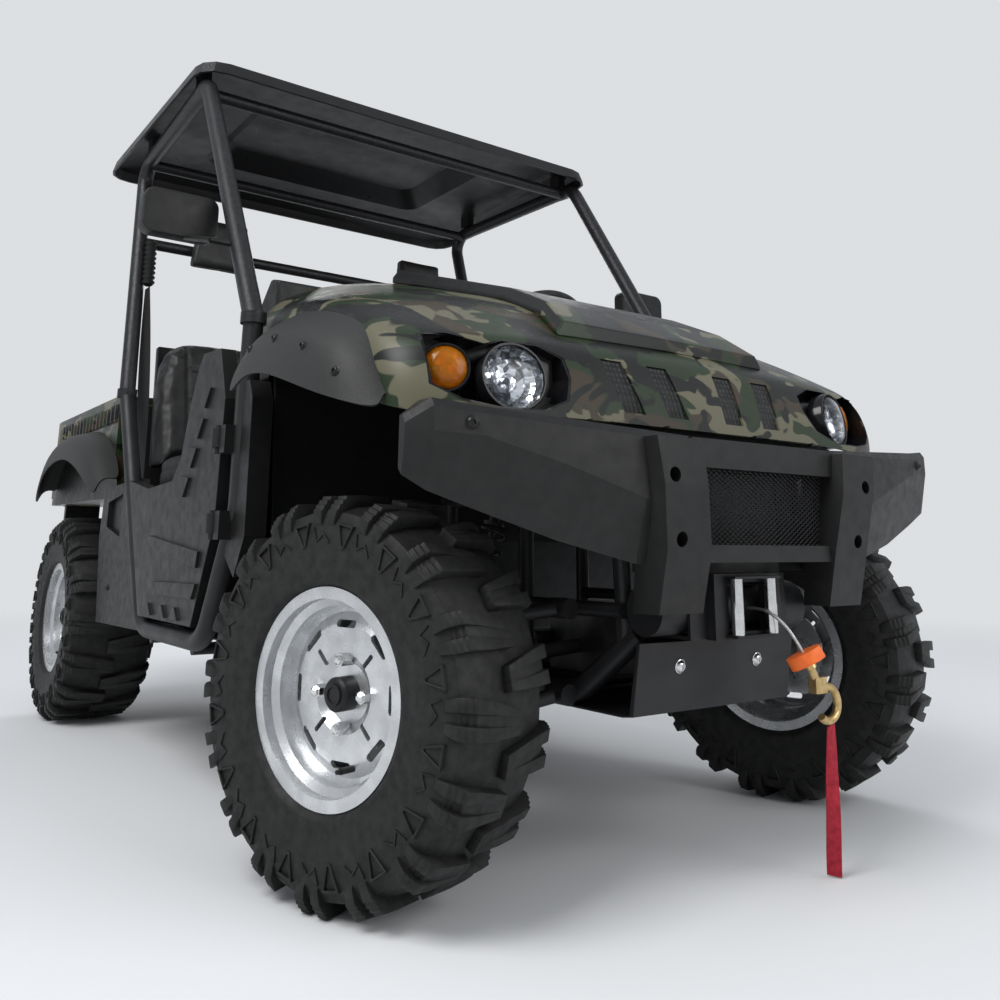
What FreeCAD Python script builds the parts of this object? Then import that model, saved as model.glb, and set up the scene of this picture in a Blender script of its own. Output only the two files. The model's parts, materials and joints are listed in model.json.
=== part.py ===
import FreeCAD, Part
import math
import os

from FreeCAD import Placement, Rotation, Vector

# Side by side utility vehicle, in millimetres.
# The front points to -Y, the vehicle's left side is +X, and +Z is up from the ground.
# The origin is on the ground, in the middle of the vehicle's footprint.

# Wheels and axles
WHEELBASE = 1910
FRONT_AXLE_Y = -1005
REAR_AXLE_Y = FRONT_AXLE_Y + WHEELBASE
TYRE_R = 312
AXLE_Z = TYRE_R
KINGPIN_X = 504
FRONT_WHEEL_OFFSET = 60
REAR_WHEEL_X = 545
PARKED_STEER = 16.2
FRONT_TYRE_HALF = 105
REAR_TYRE_HALF = 127
FRONT_RIM_HALF = 90
REAR_RIM_HALF = 110
SIDEWALL = 145.5
RIM_FLANGE_R = TYRE_R - SIDEWALL
RIM_BEAD_R = RIM_FLANGE_R - 14.5
RIM_WELL_R = RIM_BEAD_R - 20
RIM_WALL = 4
DISC_SET_IN = 46
DISC_R = RIM_WELL_R - 10
DISC_WALL = 6
OVAL_SLOTS = 8
OVAL_SLOT_R = DISC_R - 15
OVAL_SLOT_WIDTH = 12
OVAL_SLOT_LENGTH = 44
SPOKE_SLOTS = 4
SPOKE_SLOT_R = DISC_R - 49
SPOKE_SLOT_WIDTH = 8
SPOKE_SLOT_LENGTH = 30
HUB_CAP_R = 22
TYRE_FIT_GAP = 0.3
LUGS_A_SIDE = 16
LUG_DEPTH = 15
BEAD_WIDTH = 16

# Frame and suspension
RAIL_X = 190
RAIL_Z = AXLE_Z - 20
RAIL_R = 20
FRONT_FRAME_MID_Z = 436
FRONT_FRAME_TOP_Z = 640
FRONT_FRAME_FRONT_Y = -1235
FRONT_FRAME_REAR_Y = -700
REAR_FRAME_Z = 2 * TYRE_R - 64
REAR_FRAME_FRONT_Y = REAR_AXLE_Y - 435
REAR_FRAME_REAR_Y = REAR_AXLE_Y + 310
HITCH_Z = 360
BUMPER_BACK_Y = -1342
ARM_R = 13
ARM_SPREAD = 115
LOWER_BALL_Z = AXLE_Z - 66
UPPER_BALL_Z = AXLE_Z + 72
ARM_CROSS_X = 340
STEER_ARM = 96
TIE_ROD_Z = AXLE_Z + 48
TIE_ROD_R = 9
STEER_ARM_Z = TIE_ROD_Z + 12
SHOCK_Y = 34
REAR_SHOCK_Y = 45
SHOCK_R = 27
SHOCK_ROD_R = 13
KNUCKLE_R = 34
BRAKE_R = DISC_R - 30
BRAKE_WALL = 5
HUB_LENGTH = 34
SKID_WALL = 5
SEAT_GAP = 0.3

# Cab
TUB_HALF = 585
TUB_WALL = 8
FLOOR_Z = 346
SEAT_X = 350
SEAT_HALF = 225

# Side hoops and roll cage
HOOP_X = TUB_HALF + 55
HOOP_R = 21
CAGE_R = 22
JOINT_PLATE_R = 27
JOINT_PLATE_HEIGHT = 12
A_BASE = (HOOP_X, -621, 1004)
A_TOP = (HOOP_X - 8, -162, 1733)
B_BASE = (HOOP_X, 335, 965)
B_TOP = (HOOP_X - 40, 528, 1738)
SILL_Z = 343
OUTRIGGER_R = 12.6
SILL_FRONT_Y = -462
SILL_REAR_Y = -24
CROSSBAR_Z = 1462
DOOR_OUT_X = HOOP_X + 24
DOOR_WALL = 34
HINGE_X = HOOP_X + 36
HINGE_Y = -566
HINGE_R = 8

# Bed
BED_HALF = 605
BED_FRONT_Y = REAR_AXLE_Y - 360
BED_REAR_Y = REAR_AXLE_Y + 500
BED_FLOOR_Z = REAR_FRAME_Z + 140
BED_TOP_Z = BED_FLOOR_Z + 290
BED_WALL = 22
BED_PIVOT_Y = REAR_AXLE_Y + 280
BED_PIVOT_Z = BED_FLOOR_Z - 60
GATE_WALL = 26
GATE_GAP = 6
GATE_HINGE_Z = BED_FLOOR_Z - 12

# Steering wheel
STEER_CENTRE = (350, -300, 1125)
STEER_SLOPE = 40
STEER_R = 178
STEER_RIM_R = 13


def vec(p):
    return Vector(*p)


def box(x0, x1, y0, y1, z0, z1):
    return Part.makeBox(x1 - x0, y1 - y0, z1 - z0, Vector(x0, y0, z0))


def rod(a, b, radius):
    start = vec(a)
    run = vec(b) - start
    return Part.makeCylinder(radius, run.Length, start, run)


def side_plate(outline, x0, x1):
    wire = Part.makePolygon([Vector(x0, y, z) for y, z in outline] + [Vector(x0, *outline[0])])
    return Part.Face(wire).extrude(Vector(x1 - x0, 0, 0))


def mirrored(shape):
    return shape.mirror(Vector(0, 0, 0), Vector(1, 0, 0))


def pair(shape):
    return Part.makeCompound([shape, mirrored(shape)])


def fused(shapes):
    body = shapes[0]
    for shape in shapes[1:]:
        body = body.fuse(shape)
    return body.removeSplitter()


def outward(solid):
    if solid.Volume < 0:
        solid.reverse()
    return solid


def bent_tube(points, radius, bend):
    corners = [vec(p) for p in points]
    edges = []
    start = corners[0]
    for before, corner, after in zip(corners, corners[1:], corners[2:]):
        run_in = (corner - before).normalize()
        run_out = (after - corner).normalize()
        half_turn = run_in.getAngle(run_out) / 2
        reach = bend * math.tan(half_turn)
        arc_start = corner - run_in * reach
        arc_end = corner + run_out * reach
        to_centre = (run_out - run_in).normalize()
        sagitta = bend / math.cos(half_turn) - bend
        edges.append(Part.LineSegment(start, arc_start).toShape())
        edges.append(Part.Arc(arc_start, corner + to_centre * sagitta, arc_end).toShape())
        start = arc_end
    edges.append(Part.LineSegment(start, corners[-1]).toShape())
    path = Part.Wire(edges)
    circle = Part.makeCircle(radius, corners[0], corners[1] - corners[0])
    return outward(path.makePipe(Part.Face(Part.Wire(circle))))


def ruled_body(sections):
    wires = []
    for section in sections:
        points = [vec(p) for p in section]
        wires.append(Part.makePolygon(points + [points[0]]))
    return outward(Part.makeLoft(wires, True, True))


def revolved(profile, centre_x):
    points = [Vector(centre_x + x, 0, r) for x, r in profile]
    face = Part.Face(Part.makePolygon(points + [points[0]]))
    return outward(face.revolve(Vector(centre_x, 0, 0), Vector(1, 0, 0), 360))


def save(shape, node):
    shape.exportStep("parts/" + node + ".step")


# Wheels. A tyre is a ring of flat facets. Each side has its own lugs, one facet long, and the lugs
# of one side stand beside the gaps of the other. Columns: place across the tyre as a share of the
# half width, depth below the tread.
SHOULDER = (1.00, 66)
LUG_TOP = ((1.00, 28), (0.88, 1), (0.10, 0))
GAP_TOP = ((0.94, LUG_DEPTH + 14), (0.82, LUG_DEPTH + 1))
CROWN = (0.00, LUG_DEPTH - 2)
CAVITY = (0.86, 62)


def ring_facets(profile, radial, turn, step):
    faces = []
    for (x0, r0), (x1, r1) in zip(profile, profile[1:]):
        corners = [radial(x0, r0, turn), radial(x0, r0, turn + step)]
        corners += [radial(x1, r1, turn + step), radial(x1, r1, turn)]
        faces.append(Part.Face(Part.makePolygon(corners + [corners[0]])))
    return faces


def tyre_shape(half_width, rim_half):
    facets = 2 * LUGS_A_SIDE
    step = 2 * math.pi / facets
    bead_x = rim_half - RIM_WALL - TYRE_FIT_GAP
    bead = (bead_x, RIM_BEAD_R + TYRE_FIT_GAP)
    bead_inside = bead_x - BEAD_WIDTH
    flange = (bead_x, RIM_FLANGE_R + TYRE_FIT_GAP)

    def radial(x, r, turn):
        reach = r / math.cos(step / 2)
        return Vector(x, reach * math.sin(turn), -reach * math.cos(turn))

    def tread(points, side):
        return [(side * share * half_width, TYRE_R - depth) for share, depth in points]

    faces = []
    for count in range(facets):
        turn = (count - 0.5) * step
        for side in (-1, 1):
            raised = (count % 2 == 0) == (side > 0)
            middle = LUG_TOP if raised else GAP_TOP
            line = [(side * bead[0], bead[1]), (side * flange[0], flange[1])]
            line += tread([SHOULDER, *middle, CROWN], side)
            faces += ring_facets(line, radial, turn, step)
            cavity = tread([CAVITY], side) + [(side * bead_inside, bead[1]), line[0]]
            faces += ring_facets(cavity, radial, turn, step)
            wall = tread([SHOULDER, *LUG_TOP, CROWN, *GAP_TOP[::-1]], side)
            corners = [radial(x, r, turn) for x, r in wall]
            faces.append(Part.Face(Part.makePolygon(corners + [corners[0]])))
        faces += ring_facets(tread([CAVITY], -1) + tread([CAVITY], 1), radial, turn, step)
    return outward(Part.Solid(Part.Shell(faces))).removeSplitter()


# One profile holds the barrel, the set-in disc, the hub and the brake disc. Its outer side is +X.
def rim_shape(rim_half):
    disc_x = rim_half - DISC_SET_IN
    brake_x = disc_x - 14 - HUB_LENGTH
    step_r = RIM_BEAD_R - 12
    profile = [
        (rim_half, RIM_FLANGE_R),
        (rim_half - RIM_WALL, RIM_FLANGE_R),
        (rim_half - RIM_WALL, RIM_BEAD_R),
        (rim_half - 20, RIM_BEAD_R),
        (rim_half - 28, step_r),
        (disc_x - 8, step_r),
        (disc_x - 14, RIM_WELL_R),
        (52 - rim_half, RIM_WELL_R),
        (36 - rim_half, RIM_BEAD_R),
        (RIM_WALL - rim_half, RIM_BEAD_R),
        (RIM_WALL - rim_half, RIM_FLANGE_R),
        (-rim_half, RIM_FLANGE_R),
        (-rim_half, RIM_BEAD_R - RIM_WALL),
        (34 - rim_half, RIM_BEAD_R - RIM_WALL),
        (50 - rim_half, RIM_WELL_R - RIM_WALL),
        (disc_x - 14, RIM_WELL_R - RIM_WALL),
        (disc_x - 12, DISC_R),
        (disc_x - 2, DISC_R - 16),
        (disc_x - 2, 64),
        (disc_x - 14, 48),
        (disc_x - 14, 30),
        (brake_x + BRAKE_WALL, 30),
        (brake_x + BRAKE_WALL, BRAKE_R),
        (brake_x, BRAKE_R),
        (brake_x, 0),
        (disc_x + 15, 0),
        (disc_x + 15, HUB_CAP_R),
        (disc_x - 8, HUB_CAP_R),
        (disc_x - 8, 46),
        (disc_x + 4, 62),
        (disc_x + 4, DISC_R - 14),
        (disc_x - 5, DISC_R + 4),
        (disc_x - 5, step_r - RIM_WALL),
        (rim_half - 26, step_r - RIM_WALL),
        (rim_half - 18, RIM_BEAD_R - RIM_WALL),
        (rim_half, RIM_BEAD_R - RIM_WALL),
    ]
    rim = revolved(profile, 0)
    through = Vector(4 * DISC_WALL, 0, 0)
    slots = []
    for count in range(OVAL_SLOTS):
        slots.append((OVAL_SLOT_R, 360 * count / OVAL_SLOTS, OVAL_SLOT_LENGTH / 2, OVAL_SLOT_WIDTH / 2))
    for count in range(SPOKE_SLOTS):
        turn = 360 * (count + 0.5) / SPOKE_SLOTS
        slots.append((SPOKE_SLOT_R, turn, SPOKE_SLOT_WIDTH / 2, SPOKE_SLOT_LENGTH / 2))
    for radius, turn, half_along, half_across in slots:
        cut = slot_face(disc_x - 3 * DISC_WALL, radius, half_along, half_across).extrude(through)
        cut.rotate(Vector(0, 0, 0), Vector(1, 0, 0), turn)
        rim = rim.cut(cut)
    return rim


def slot_face(x, radius, half_y, half_z):
    corner = min(half_y, half_z) / 2
    corners = []
    for y, z in ((half_y, half_z - corner), (half_y - corner, half_z)):
        corners.append((y, z))
    outline = corners + [(-y, z) for y, z in corners[::-1]]
    outline += [(-y, -z) for y, z in outline]
    points = [Vector(x, y, radius + z) for y, z in outline]
    return Part.Face(Part.makePolygon(points + [points[0]]))


def placed_wheel(shape, side, centre, steer):
    turned = shape.copy()
    if side < 0:
        turned = mirrored(turned)
    turned.Placement = Placement(vec(centre), Rotation(Vector(0, 0, 1), steer)).multiply(turned.Placement)
    return turned


def front_wheel_centre(side):
    steer = math.radians(PARKED_STEER)
    return (
        side * (KINGPIN_X + FRONT_WHEEL_OFFSET * math.cos(steer)),
        FRONT_AXLE_Y + side * FRONT_WHEEL_OFFSET * math.sin(steer),
        AXLE_Z,
    )


def make_wheels():
    front_tyre = tyre_shape(FRONT_TYRE_HALF, FRONT_RIM_HALF)
    rear_tyre = tyre_shape(REAR_TYRE_HALF, REAR_RIM_HALF)
    front_rim = rim_shape(FRONT_RIM_HALF)
    rear_rim = rim_shape(REAR_RIM_HALF)
    for name, side in (("left", 1), ("right", -1)):
        centre = front_wheel_centre(side)
        save(placed_wheel(front_tyre, side, centre, PARKED_STEER), "tyre_front_" + name)
        save(placed_wheel(front_rim, side, centre, PARKED_STEER), "rim_front_" + name)
        centre = (side * REAR_WHEEL_X, REAR_AXLE_Y, AXLE_Z)
        save(placed_wheel(rear_tyre, side, centre, 0), "tyre_rear_" + name)
        save(placed_wheel(rear_rim, side, centre, 0), "rim_rear_" + name)


# Steering knuckles stand straight ahead here and are turned with the wheel about the kingpin.
def knuckle_shape():
    brake_x = KINGPIN_X + FRONT_WHEEL_OFFSET + FRONT_RIM_HALF - DISC_SET_IN - 14 - HUB_LENGTH
    upright = box(KINGPIN_X - 16, KINGPIN_X + 16, -24, 24, LOWER_BALL_Z, UPPER_BALL_Z)
    lower_boss = Part.makeCylinder(20, 22, Vector(KINGPIN_X, 0, LOWER_BALL_Z - 4))
    upper_boss = Part.makeCylinder(18, 22, Vector(KINGPIN_X, 0, UPPER_BALL_Z - 18))
    hub = rod((KINGPIN_X, 0, AXLE_Z), (brake_x - SEAT_GAP, 0, AXLE_Z), KNUCKLE_R)
    caliper = box(brake_x - 26, brake_x - 1, 0, 84, AXLE_Z + 12, AXLE_Z + 66)
    arm = box(KINGPIN_X - 9, KINGPIN_X + 9, 10, STEER_ARM, STEER_ARM_Z, STEER_ARM_Z + 14)
    eye = Part.makeCylinder(13, 14, Vector(KINGPIN_X, STEER_ARM, STEER_ARM_Z))
    return fused([upright, lower_boss, upper_boss, hub, caliper, arm, eye])


def make_knuckles():
    knuckle = knuckle_shape()
    for name, side in (("left", 1), ("right", -1)):
        shape = knuckle if side > 0 else mirrored(knuckle)
        shape = shape.copy()
        shape.translate(Vector(0, FRONT_AXLE_Y, 0))
        shape.rotate(Vector(side * KINGPIN_X, FRONT_AXLE_Y, 0), Vector(0, 0, 1), PARKED_STEER)
        save(shape, "knuckle_" + name)


def make_frame():
    rail = bent_tube(
        [
            (RAIL_X - 40, FRONT_FRAME_FRONT_Y - 5, RAIL_Z + 104),
            (RAIL_X, FRONT_FRAME_FRONT_Y + 110, RAIL_Z),
            (RAIL_X, REAR_AXLE_Y + 135, RAIL_Z),
            (RAIL_X, REAR_FRAME_REAR_Y - 60, RAIL_Z + 60),
        ],
        RAIL_R,
        60,
    )
    parts = [rail, mirrored(rail)]
    for y in (FRONT_AXLE_Y, FRONT_FRAME_REAR_Y - 30, -300, 150, 420, REAR_AXLE_Y):
        parts.append(rod((-RAIL_X, y, RAIL_Z), (RAIL_X, y, RAIL_Z), 16))
    nose_y = FRONT_FRAME_FRONT_Y - 3
    nose_z = RAIL_Z + 104
    parts.append(rod((40 - RAIL_X, nose_y, nose_z), (RAIL_X - 40, nose_y, nose_z), 16))
    main_frame = fused(parts)
    save(main_frame, "main_frame")

    front_y = FRONT_FRAME_FRONT_Y
    rear_y = FRONT_FRAME_REAR_Y
    tower_y = FRONT_AXLE_Y + SHOCK_Y
    top_z = FRONT_FRAME_TOP_Z
    half = [
        rod((RAIL_X, front_y, top_z), (RAIL_X, rear_y + 20, top_z), 16),
        rod((RAIL_X - 30, front_y + 20, RAIL_Z + 90), (RAIL_X, front_y, top_z), 15),
        rod((RAIL_X, rear_y, RAIL_Z), (RAIL_X, rear_y, top_z), 15),
        rod((RAIL_X, tower_y, RAIL_Z), (RAIL_X, tower_y, top_z), 15),
        rod((RAIL_X - 10, front_y, FRONT_FRAME_MID_Z), (RAIL_X, rear_y, FRONT_FRAME_MID_Z), 13),
        box(150, 157, BUMPER_BACK_Y + SEAT_GAP, front_y + 8, 530, 700),
    ]
    parts = half + [mirrored(piece) for piece in half]
    for y in (front_y, rear_y):
        parts.append(rod((-RAIL_X, y, top_z), (RAIL_X, y, top_z), 15))
    parts.append(rod((-270, tower_y, top_z), (270, tower_y, top_z), 15))
    save(fused(parts).cut(main_frame), "front_frame")

    side = bent_tube(
        [
            (RAIL_X, REAR_FRAME_FRONT_Y - 40, RAIL_Z + 4),
            (RAIL_X, REAR_FRAME_FRONT_Y, REAR_FRAME_Z),
            (RAIL_X, REAR_FRAME_REAR_Y, REAR_FRAME_Z),
            (RAIL_X, REAR_FRAME_REAR_Y - 50, RAIL_Z + 90),
        ],
        16,
        50,
    )
    rest_y = REAR_AXLE_Y - 301
    rest_top = BED_FLOOR_Z - BED_WALL - SEAT_GAP
    rest = box(RAIL_X - 14, RAIL_X + 14, rest_y - 14, rest_y + 14, REAR_FRAME_Z, rest_top)
    ear = box(RAIL_X - 8, RAIL_X + 8, BED_PIVOT_Y - 26, BED_PIVOT_Y + 18, REAR_FRAME_Z, BED_PIVOT_Z + 18)
    ear = ear.cut(rod((0, BED_PIVOT_Y, BED_PIVOT_Z), (RAIL_X + 20, BED_PIVOT_Y, BED_PIVOT_Z), 8))
    parts = [side, mirrored(side), rest, mirrored(rest), ear, mirrored(ear)]
    for y in (REAR_FRAME_FRONT_Y + 60, REAR_FRAME_REAR_Y - 60):
        parts.append(rod((-RAIL_X, y, REAR_FRAME_Z), (RAIL_X, y, REAR_FRAME_Z), 15))
    shock_y = REAR_AXLE_Y + REAR_SHOCK_Y
    parts.append(rod((-300, shock_y, REAR_FRAME_Z), (300, shock_y, REAR_FRAME_Z), 15))
    hitch_y = REAR_FRAME_REAR_Y + 40
    receiver = box(-32, 32, hitch_y - 230, hitch_y, HITCH_Z - 32, HITCH_Z + 32)
    socket = box(-25.5, 25.5, hitch_y - 200, hitch_y + 10, HITCH_Z - 25.5, HITCH_Z + 25.5)
    bar = box(-RAIL_X, RAIL_X, hitch_y - 126, hitch_y - 78, HITCH_Z - 22, HITCH_Z + 26)
    pin_hole = rod((-60, hitch_y - 28, HITCH_Z), (60, hitch_y - 28, HITCH_Z), 8)
    frame = fused(parts + [receiver, bar]).cut(socket)
    save(frame.cut(pin_hole).cut(main_frame), "rear_frame")


def hoop_tube(radius):
    return bent_tube(
        [
            A_BASE,
            (HOOP_X, -612, 620),
            (HOOP_X, SILL_FRONT_Y, SILL_Z),
            (HOOP_X, SILL_REAR_Y, SILL_Z),
            (B_BASE[0], B_BASE[1] + 12, B_BASE[2] + 21),
        ],
        radius,
        90,
    )


def joint_plate(base, low, high):
    return Part.makeCylinder(JOINT_PLATE_R, high - low, Vector(base[0], base[1], base[2] + low))


def joint_space(base, low, high):
    reach = 2 * JOINT_PLATE_R
    x, y, z = base
    return box(x - reach, x + reach, y - reach, y + reach, z + low, z + high)


def make_side_hoops():
    outrigger_z = FLOOR_Z - TUB_WALL - OUTRIGGER_R - 0.1
    parts = [hoop_tube(HOOP_R)]
    for y in (SILL_FRONT_Y + 70, SILL_REAR_Y - 70):
        parts.append(rod((RAIL_X - 20, y, outrigger_z), (HOOP_X, y, outrigger_z), OUTRIGGER_R))
    hoop = fused(parts)
    for base in (A_BASE, B_BASE):
        hoop = hoop.cut(joint_space(base, 0, 60)).fuse(joint_plate(base, -JOINT_PLATE_HEIGHT, 0))
    save(pair(hoop.removeSplitter()), "side_hoops")


def cage_side():
    side = bent_tube(
        [
            (A_BASE[0], A_BASE[1] - 12, A_BASE[2] - 19),
            A_TOP,
            (A_TOP[0] - 6, A_TOP[1] + 80, A_TOP[2] + 4),
            B_TOP,
            (B_BASE[0] + 1, B_BASE[1] - 5, B_BASE[2] - 20),
        ],
        CAGE_R,
        60,
    )
    for base in (A_BASE, B_BASE):
        side = side.cut(joint_space(base, -60, SEAT_GAP))
        side = side.fuse(joint_plate(base, SEAT_GAP, JOINT_PLATE_HEIGHT))
    return side.removeSplitter()


def crossbar_y(z):
    return B_BASE[1] + (B_TOP[1] - B_BASE[1]) * (z - B_BASE[2]) / (B_TOP[2] - B_BASE[2])


def make_cage():
    side = cage_side()
    bar_y = crossbar_y(CROSSBAR_Z)
    parts = [side, mirrored(side)]
    parts.append(rod((-A_TOP[0], -110, A_TOP[2]), (A_TOP[0], -110, A_TOP[2]), 17))
    parts.append(rod((-B_TOP[0], 470, B_TOP[2] - 10), (B_TOP[0], 470, B_TOP[2] - 10), 17))
    parts.append(rod((-615, bar_y, CROSSBAR_Z), (615, bar_y, CROSSBAR_Z), 17))
    save(fused(parts), "roll_cage")
    rests = []
    for side in (-1, 1):
        x = side * 372
        rest_y = bar_y - 17 - SEAT_GAP
        rests.append(box(x - 100, x + 100, bar_y - 62, rest_y, CROSSBAR_Z - 68, CROSSBAR_Z + 66))
    save(Part.makeCompound(rests), "headrests")


def rounded_rectangle(half_x, y0, y1, z, radius):
    points = []
    corners = ((1, y0 + radius, -90), (1, y1 - radius, 0), (-1, y1 - radius, 90), (-1, y0 + radius, 180))
    for side, corner_y, start in corners:
        for turn in (0, 30, 60, 90):
            angle = math.radians(start + turn)
            x = side * (half_x - radius) + radius * math.cos(angle)
            points.append((x, corner_y + radius * math.sin(angle), z))
    return points


# Roof levels from the rim upwards, columns: half width, front, rear, height, corner radius.
ROOF_LEVELS = (
    (672, -218, 735, 1752, 70),
    (664, -208, 727, 1786, 70),
    (610, -140, 670, 1810, 70),
    (420, 20, 560, 1824, 60),
    (360, 60, 500, 1876, 60),
)
ROOF_WALL = 6


def make_roof():
    outer = ruled_body([rounded_rectangle(*level) for level in ROOF_LEVELS])
    inner_levels = []
    for half_x, y0, y1, z, radius in ROOF_LEVELS:
        level = (half_x - ROOF_WALL, y0 + ROOF_WALL, y1 - ROOF_WALL, z - ROOF_WALL, radius - ROOF_WALL)
        inner_levels.append(rounded_rectangle(*level))
    shell = outer.cut(ruled_body(inner_levels))
    pads = []
    for x, y in ((A_TOP[0] - 8, -90), (B_TOP[0] + 2, 440)):
        pad = box(x - 14, x + 14, y - 24, y + 24, B_TOP[2] + CAGE_R + SEAT_GAP, 1830).common(outer)
        pads += [pad, mirrored(pad)]
    save(fused([shell] + pads), "roof")


def mirrored_section(y, half):
    right = [(x, y, z) for x, z in half]
    left = [(-x, y, z) for x, z in reversed(half)]
    return right + left


# Hood sections from the cowl to the nose, columns: y, height at the middle, three shoulders and the
# edge as x and z, height of the lower edge.
HOOD_SECTIONS = (
    (-545, 1180, 280, 1160, 480, 1112, 578, 1045, 604, 985, 905),
    (-660, 1146, 280, 1128, 480, 1088, 588, 1030, 611, 982, 890),
    (-740, 1120, 280, 1104, 480, 1070, 596, 1020, 630, 978, 880),
    (-840, 1088, 280, 1074, 480, 1045, 600, 1008, 637, 970, 862),
    (-980, 1040, 280, 1028, 480, 1004, 600, 974, 638, 940, 825),
    (-1090, 990, 275, 980, 470, 960, 595, 932, 638, 892, 790),
    (-1160, 938, 270, 932, 450, 922, 585, 902, 636, 846, 765),
    (-1205, 908, 262, 905, 450, 898, 575, 876, 620, 810, 752),
    (-1235, 880, 255, 880, 440, 876, 540, 848, 588, 792, 745),
    (-1265, 815, 240, 815, 410, 811, 480, 795, 528, 764, 738),
    (-1290, 752, 225, 752, 370, 750, 420, 745, 452, 737, 728),
)
HOOD_WALL = 6


def hood_sections(wall, drop):
    sections = []
    for y, top, x1, z1, x2, z2, x3, z3, x4, z4, low in HOOD_SECTIONS:
        half = [(x4 - wall, low - drop), (x4 - wall, z4 - wall), (x3 - wall, z3 - wall)]
        half += [(x2 - wall, z2 - wall), (x1, z1 - wall), (10, top - wall)]
        sections.append(mirrored_section(y, half))
    return sections


# The lamp pod is a pocket in the nose with a slanted floor. Its outline is seen from the front,
# columns: x, z.
POD_OUTLINE = (
    (-585, 878),
    (-585, 790),
    (-540, 766),
    (-480, 757),
    (-392, 757),
    (-335, 780),
    (-316, 822),
    (-318, 860),
    (-368, 880),
    (-440, 880),
    (-480, 868),
    (-540, 882),
)
POD_MIDDLE = (-450, 820)
POD_FLOOR_Y = -1185
POD_SLANT = 0.25
POD_FRONT_Y = -1400
POD_FLOOR_WALL = 4


def pod_prism(share, back):
    middle_x, middle_z = POD_MIDDLE
    front = []
    rear = []
    for x, z in POD_OUTLINE:
        x = middle_x + (x - middle_x) * share
        z = middle_z + (z - middle_z) * share
        front.append((x, POD_FRONT_Y, z))
        rear.append((x, POD_FLOOR_Y + (middle_x - x) * POD_SLANT + back, z))
    return ruled_body([front, rear])


# Four slots stand side by side in the nose, columns: x at the top, x at the bottom.
NOSE_SLOTS = ((-205, -186), (-90, -76), (90, 76), (205, 186))
NOSE_SLOT_HALF = 26
NOSE_SLOT_TOP = 872
NOSE_SLOT_LOW = 772


def nose_slot(top_x, low_x, grow):
    half = NOSE_SLOT_HALF + grow
    corners = [(low_x - half, NOSE_SLOT_LOW - grow), (low_x + half, NOSE_SLOT_LOW - grow)]
    corners += [(top_x + half, NOSE_SLOT_TOP + grow), (top_x - half, NOSE_SLOT_TOP + grow)]
    return ruled_body([[(x, y, z) for x, z in corners] for y in (POD_FRONT_Y, POD_FLOOR_Y)])


def hood_hollow(wall):
    sections = hood_sections(wall, 60)
    sections[0] = [(x, y + 10, z) for x, y, z in sections[0]]
    sections[-1] = [(x, y + wall, z) for x, y, z in sections[-1]]
    return ruled_body(sections)


def make_hood():
    body = ruled_body(hood_sections(0, 0))
    shell = body.cut(hood_hollow(HOOD_WALL))
    pocket = pod_prism(1, POD_FLOOR_WALL + SEAT_GAP)
    shell = shell.cut(pocket).cut(mirrored(pocket))
    for top_x, low_x in NOSE_SLOTS:
        shell = shell.cut(nose_slot(top_x, low_x, 0))
    post = box(174, 206, -960, -930, FRONT_FRAME_TOP_Z + 16 + SEAT_GAP, 900)
    post = post.fuse(box(174, 206, -960, -930, 880, 1100).common(body))
    shell = shell.fuse(post).fuse(mirrored(post)).removeSplitter()
    save(shell, "hood")

    pod = pod_prism(0.997, POD_FLOOR_WALL).common(body).cut(pod_prism(0.96, 0))
    save(pair(pod), "lamp_pods")
    behind = hood_hollow(HOOD_WALL + SEAT_GAP)
    deeper = hood_hollow(HOOD_WALL + 4)
    screens = [behind.common(nose_slot(top_x, low_x, 12)).cut(deeper) for top_x, low_x in NOSE_SLOTS]
    save(Part.makeCompound(screens), "nose_screens")


# Raised black panel along the middle of the hood, columns: y, half width, height.
HOOD_PANEL = (
    (-556, 262, 1194),
    (-760, 252, 1130),
    (-980, 240, 1060),
    (-1110, 246, 1002),
    (-1186, 268, 946),
)
HOOD_PANEL_EDGE = 16


def make_hood_panel():
    sections = []
    for y, half, top in HOOD_PANEL:
        edge = half + HOOD_PANEL_EDGE
        sections.append(mirrored_section(y, [(edge, top - 70), (edge, top - 22), (half, top)]))
    ground = ruled_body(hood_sections(-SEAT_GAP, 0))
    save(ruled_body(sections).cut(ground), "hood_panel")


# Flare sections along the arch, columns: y, inner x, height at the body, outer x, crease height,
# lip height.
FRONT_FLARE = (
    (-1180, 628, 776, 650, 766, 752),
    (-1130, 628, 872, 688, 826, 768),
    (-1060, 628, 920, 704, 866, 790),
    (-960, 628, 954, 712, 896, 822),
    (-860, 628, 972, 712, 912, 846),
    (-770, 628, 970, 710, 908, 848),
    (-700, 624, 948, 704, 884, 828),
)
REAR_FLARE = (
    (-425, 0, 735, 41, 722, 700),
    (-305, 0, 842, 41, 820, 784),
    (-145, 0, 890, 41, 868, 836),
    (0, 0, 898, 41, 878, 846),
    (145, 0, 888, 41, 866, 834),
    (305, 0, 840, 41, 818, 782),
    (415, 0, 735, 41, 722, 700),
)
FLARE_WALL = 6


def flare(table, base_x, base_y):
    sections = []
    for y, inner_x, top, outer_x, crease, lip in table:
        y += base_y
        inner_x += base_x + SEAT_GAP
        outer_x += base_x
        sections.append(
            [
                (inner_x, y, top),
                (outer_x - 12, y, crease),
                (outer_x, y, lip),
                (outer_x - FLARE_WALL, y, lip),
                (outer_x - 12 - FLARE_WALL, y, crease - FLARE_WALL),
                (inner_x, y, top - FLARE_WALL),
            ]
        )
    return ruled_body(sections)


def make_flares():
    ground = ruled_body(hood_sections(-SEAT_GAP, 0))
    save(pair(flare(FRONT_FLARE, 0, 0).cut(ground)), "front_flares")
    save(pair(flare(REAR_FLARE, BED_HALF, REAR_AXLE_Y)), "rear_flares")


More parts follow.
